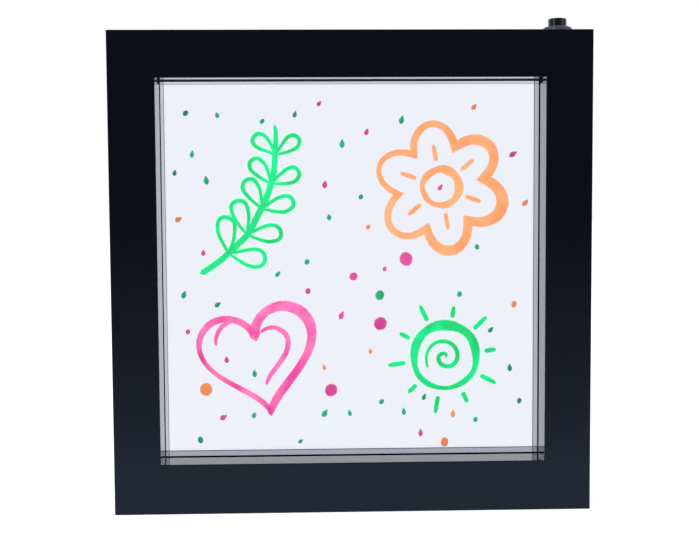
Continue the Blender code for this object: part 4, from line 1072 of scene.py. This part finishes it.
def lights():
    """The two light boards with their pads and tracks, their LEDs and their resistors."""
    pad_gap, pad_length, copper_thickness = 0.0001, 0.0008, 0.00004
    track_width, track_inset, track_margin = 0.0005, 0.0009, 0.001
    end_inset, end_length = Vector((0, 0, 0.0003)), 0.0004
    for name, side in (("left", -1), ("right", 1)):
        for number in range(1, 7):
            led_piece(f"led_{name}_{number}_lit", f"led_{name}_{number}", side)
        node = "light_board_" + name
        low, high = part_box(node)
        board = block("board", low, high, 0.00008)
        board.data.materials.append(BOARD_WHITE)
        face = low.x if side > 0 else high.x
        pads = []
        for number in range(1, 7):
            led_low, led_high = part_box(f"led_{name}_{number}")
            for z in (led_low.z - pad_gap - pad_length, led_high.z + pad_gap):
                pads.append((led_low.y, z, led_high.y, z + pad_length))
        for y in (low.y + track_inset, high.y - track_inset - track_width):
            pads.append((y, low.z + track_margin, y + track_width, high.z - track_margin))
        copper = []
        for low_y, low_z, high_y, high_z in pads:
            near, far = sorted((face, face - side * copper_thickness))
            pad = block("pad", (near, low_y, low_z), (far, high_y, high_z))
            pad.data.materials.append(SOLDER)
            copper.append(pad)
        fit(join_pieces(node + "_etched", [board, *copper]), None, (node,), "root")
        node = "resistor_" + name
        low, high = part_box(node)
        body = block("body", low + end_inset, high - end_inset, 0.00006)
        body.data.materials.append(RESISTOR_DARK)
        ends = []
        for end_low, end_high in ((low.z, low.z + end_length), (high.z - end_length, high.z)):
            end = block("end", (low.x, low.y, end_low), (high.x, high.y, end_high), 0.00005)
            end.data.materials.append(SOLDER)
            ends.append(end)
        fit(join_pieces(node + "_soldered", [body, *ends]), None, (node,), "root")


# Cells and their springs


def cell_pieces():
    """Round cells: a wrapped can with a band at the positive end, a nub and a recessed flat end."""
    for number in (1, 2, 3):
        node = f"cell_{number}"
        low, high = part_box(node)
        radius, length = (high.z - low.z) / 2, high.x - low.x
        nub, nub_height, shoulder, rim = 0.00275, 0.0012, 0.0007, 0.0008
        top = length - nub_height
        profile = [
            (radius - 0.0016, 0),
            (radius - 0.0012, 0),
            *ring_arc((radius - rim, rim), (rim, rim), -80, 0, 5),
            (radius, top * 0.74),
            (radius + 0.00002, top * 0.74 + 0.00002),
            (radius + 0.00002, top - shoulder),
            *ring_arc((radius - shoulder, top - shoulder), (shoulder, shoulder), 0, 90, 6),
            (radius - 0.0016, top),
            (radius - 0.0018, top - 0.0003),
            (nub + 0.0006, top - 0.0003),
            (nub + 0.0002, top),
            *ring_arc((nub - 0.0003, top + nub_height - 0.0003), (0.0003, 0.0003), 0, 90, 4),
            (0.0001, top + nub_height),
        ]
        made = smooth_shade(turned(f"wrapped_cell_{number}", profile, 72))
        made.data.materials.append(CELL_WRAP)
        paint_faces(made, CELL_BAND, lambda face: face.center.z > top * 0.739 and face.normal.z < 0.6)
        edge = radius - 0.0014

        def bare(face):
            reach = math.hypot(face.center.x, face.center.y)
            return reach < edge and (face.center.z > top - 0.0005 or face.normal.z < -0.5)

        paint_faces(made, CELL_STEEL, bare)
        placed(made, (low.x, (low.y + high.y) / 2, (low.z + high.z) / 2), (0, math.pi / 2, 0))
        fit(made, None, (node,), "root")
        node = f"cell_spring_{number}"
        low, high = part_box(node)
        wire, wide, narrow, turns = 0.0007, 0.0046, 0.0026, 2.5
        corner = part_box("cell_1")[0]
        start = Vector((low.x + wire / 2, corner.y + radius, corner.z + radius))
        end = Vector((high.x - wire / 2, corner.y + radius, corner.z + radius))
        made = coil(f"cell_coil_{number}", start, end, wide, narrow, turns, wire)
        fit(made, SPRING_STEEL, (node,), "root")


# Case screws


def case_screws():
    """Pan heads with a cross recess, above a threaded shank."""
    head_radius, head_height, shank, groove, pitch = 0.0025, 0.0015, 0.0013, 0.00022, 0.0006
    length, tip = 0.0085, 0.0012
    thread = []
    z = tip - length
    while z < -pitch:
        thread += [(shank - groove, z + pitch / 2), (shank, z + pitch)]
        z += pitch
    dome = ring_arc((0.0008, 0.0004), (head_radius - 0.0008, head_height - 0.0004), 0, 78, 8)
    profile = [
        (0.0001, -length),
        (shank - groove, tip - length),
        *thread,
        (shank, -0.00005),
        (head_radius - 0.0001, 0),
        (head_radius, 0.0001),
        *dome,
        (0.0003, head_height),
    ]
    pattern = turned("pattern", profile, 48)
    slot_long, slot_wide, slot_floor, slot_top = 0.0030, 0.0007, 0.0006, 0.002
    for x, y in ((slot_long / 2, slot_wide / 2), (slot_wide / 2, slot_long / 2)):
        cutter = block("cutter", (-x, -y, slot_floor), (x, y, slot_top), 0.00012, 1)
        apply_modifier(pattern, "BOOLEAN", operation="DIFFERENCE", object=cutter)
        bpy.data.objects.remove(cutter)
    smooth_shade(pattern, math.radians(35))
    for number in range(1, 9):
        node = f"case_screw_{number}"
        low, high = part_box(node)
        made = copy_of(pattern, f"cross_head_{number}")
        seat_y = low.y + length
        placed(made, ((low.x + high.x) / 2, seat_y, (low.z + high.z) / 2), (-math.pi / 2, 0.35 * number, 0))
        fit(made, SCREW_STEEL, (node,), "root")
    bpy.data.objects.remove(pattern)


# The panel


def panel_sheet():
    """Clear sheet with polished faces, sawn edges and a small chamfer all round."""
    made = block("panel_sheet", PANEL_LOW, PANEL_HIGH, 0.00025, 2)
    made.data.materials.append(CLEAR)
    paint_faces(made, SAWN_ACRYLIC, lambda face: abs(face.normal.y) < 0.5)
    smooth_shade(made, math.radians(20))
    fit(made, None, ("writing_panel",), "root")


# Drops of ink between the drawings

DROP_COUNT = 58
DROP_SEED = 41
DROP_CLEARANCE = 0.0045
DROP_APART = 0.011  # between the middles of two drops
DROP_MARGIN = 0.006  # from the opening's edge
DROP_LEVELS = (0.0, 0.3, 0.6)  # where a drop narrows towards its tip
DROP_NARROWING = 0.84
LARGE_SHARE = 0.17
LARGE_SIZES, LARGE_STRETCH = (0.0019, 0.0036), (1.0, 1.25)
SMALL_SIZES, SMALL_STRETCH = (0.0010, 0.0014), (1.1, 1.6)


def drop(place, size, stretch, heading):
    """A drop of ink: a ball pulled out to a point at one end."""
    deselect()
    bpy.ops.mesh.primitive_uv_sphere_add(segments=20, ring_count=14, radius=1, location=(0, 0, 0))
    made = bpy.context.object
    for level in DROP_LEVELS if stretch > 1.3 else ():
        choose_none()
        for vertex in made.data.vertices:
            vertex.select = vertex.co.z > level
        edit()
        bpy.ops.transform.resize(value=(DROP_NARROWING, DROP_NARROWING, 1), center_override=(0, 0, 0))
        leave_edit()
    made.scale = (size, size, size * stretch)
    made.rotation_euler = (0, heading, 0)
    made.location = (place[0], PANEL_FACE, place[1])
    return settle(made)


def drops(taken):
    """Scatters drops in three inks, clear of the drawings and of each other."""
    draw = random.Random(DROP_SEED)
    inks = {"pink": INK_DARK_PINK, "green": INK_DARK_GREEN, "orange": INK_DARK_ORANGE}
    made = {name: [] for name in inks}
    places = []
    while len(places) < DROP_COUNT:
        x = draw.uniform(-OPENING_HALF + DROP_MARGIN, OPENING_HALF - DROP_MARGIN)
        z = draw.uniform(OPENING_LOW + DROP_MARGIN, OPENING_HIGH - DROP_MARGIN)
        large = draw.random() < LARGE_SHARE
        size = draw.uniform(*(LARGE_SIZES if large else SMALL_SIZES))
        stretch = draw.uniform(*(LARGE_STRETCH if large else SMALL_STRETCH))
        heading = draw.uniform(-0.3, 1.1)
        name = draw.choice(("green", "pink", "green", "orange", "pink", "green"))
        if any(math.hypot(x - a, z - b) < DROP_CLEARANCE + size for a, b in taken):
            continue
        if any(math.hypot(x - a, z - b) < DROP_APART for a, b in places):
            continue
        places.append((x, z))
        made[name].append(drop((x, z), size, stretch, heading))
    for name, paint in inks.items():
        fit(flatten_ink(join_pieces("drops_" + name, made[name]), INK_FLATNESS), paint)


# Making

camera()
world()
for settings in LAMPS:
    lamp(*settings)
floor()

SLOTS = {item["node"]: item["material_slot"] for item in frame["record"]["subparts"]}

for node, name in (("front_housing", "housing_shell"), ("rear_cover", "cover_shell")):
    fine_copy(node, name, PAINTS[SLOTS[node]])
fine_copy("battery_door", "door_leaf", COVER_BLACK, "battery_door", bevel=0.00012)
panel_sheet()
case_screws()
lights()
cell_pieces()
for node in ("contact_negative", "contact_positive", "contact_link_1", "contact_link_2"):
    fine_copy(node, node + "_strip", SPRING_STEEL, bevel=0.00008)
switch_collar()
push_cap()
return_coil()
fine_copy("switch_nut", "hexagon_nut", SCREW_STEEL, bevel=0.0002)
fine_copy("switch_base", "switch_plug", COVER_BLACK, bevel=0.00015)
fine_copy("button_plunger", "plunger", COVER_BLACK, "button", bevel=0.00015)
fine_copy("contact_bridge", "bridge_disc", BRASS, "button", bevel=0.0001)
for node in ("switch_terminal_front", "switch_terminal_rear"):
    fine_copy(node, node + "_lug", BRASS, bevel=0.00006)
for node in sorted(frame["nodes"]):
    if node.startswith("wire_"):
        fine_copy(node, node + "_insulated", PAINTS[SLOTS[node]], rounder=True)
drawings()

bpy.context.scene.view_settings.view_transform = "Standard"
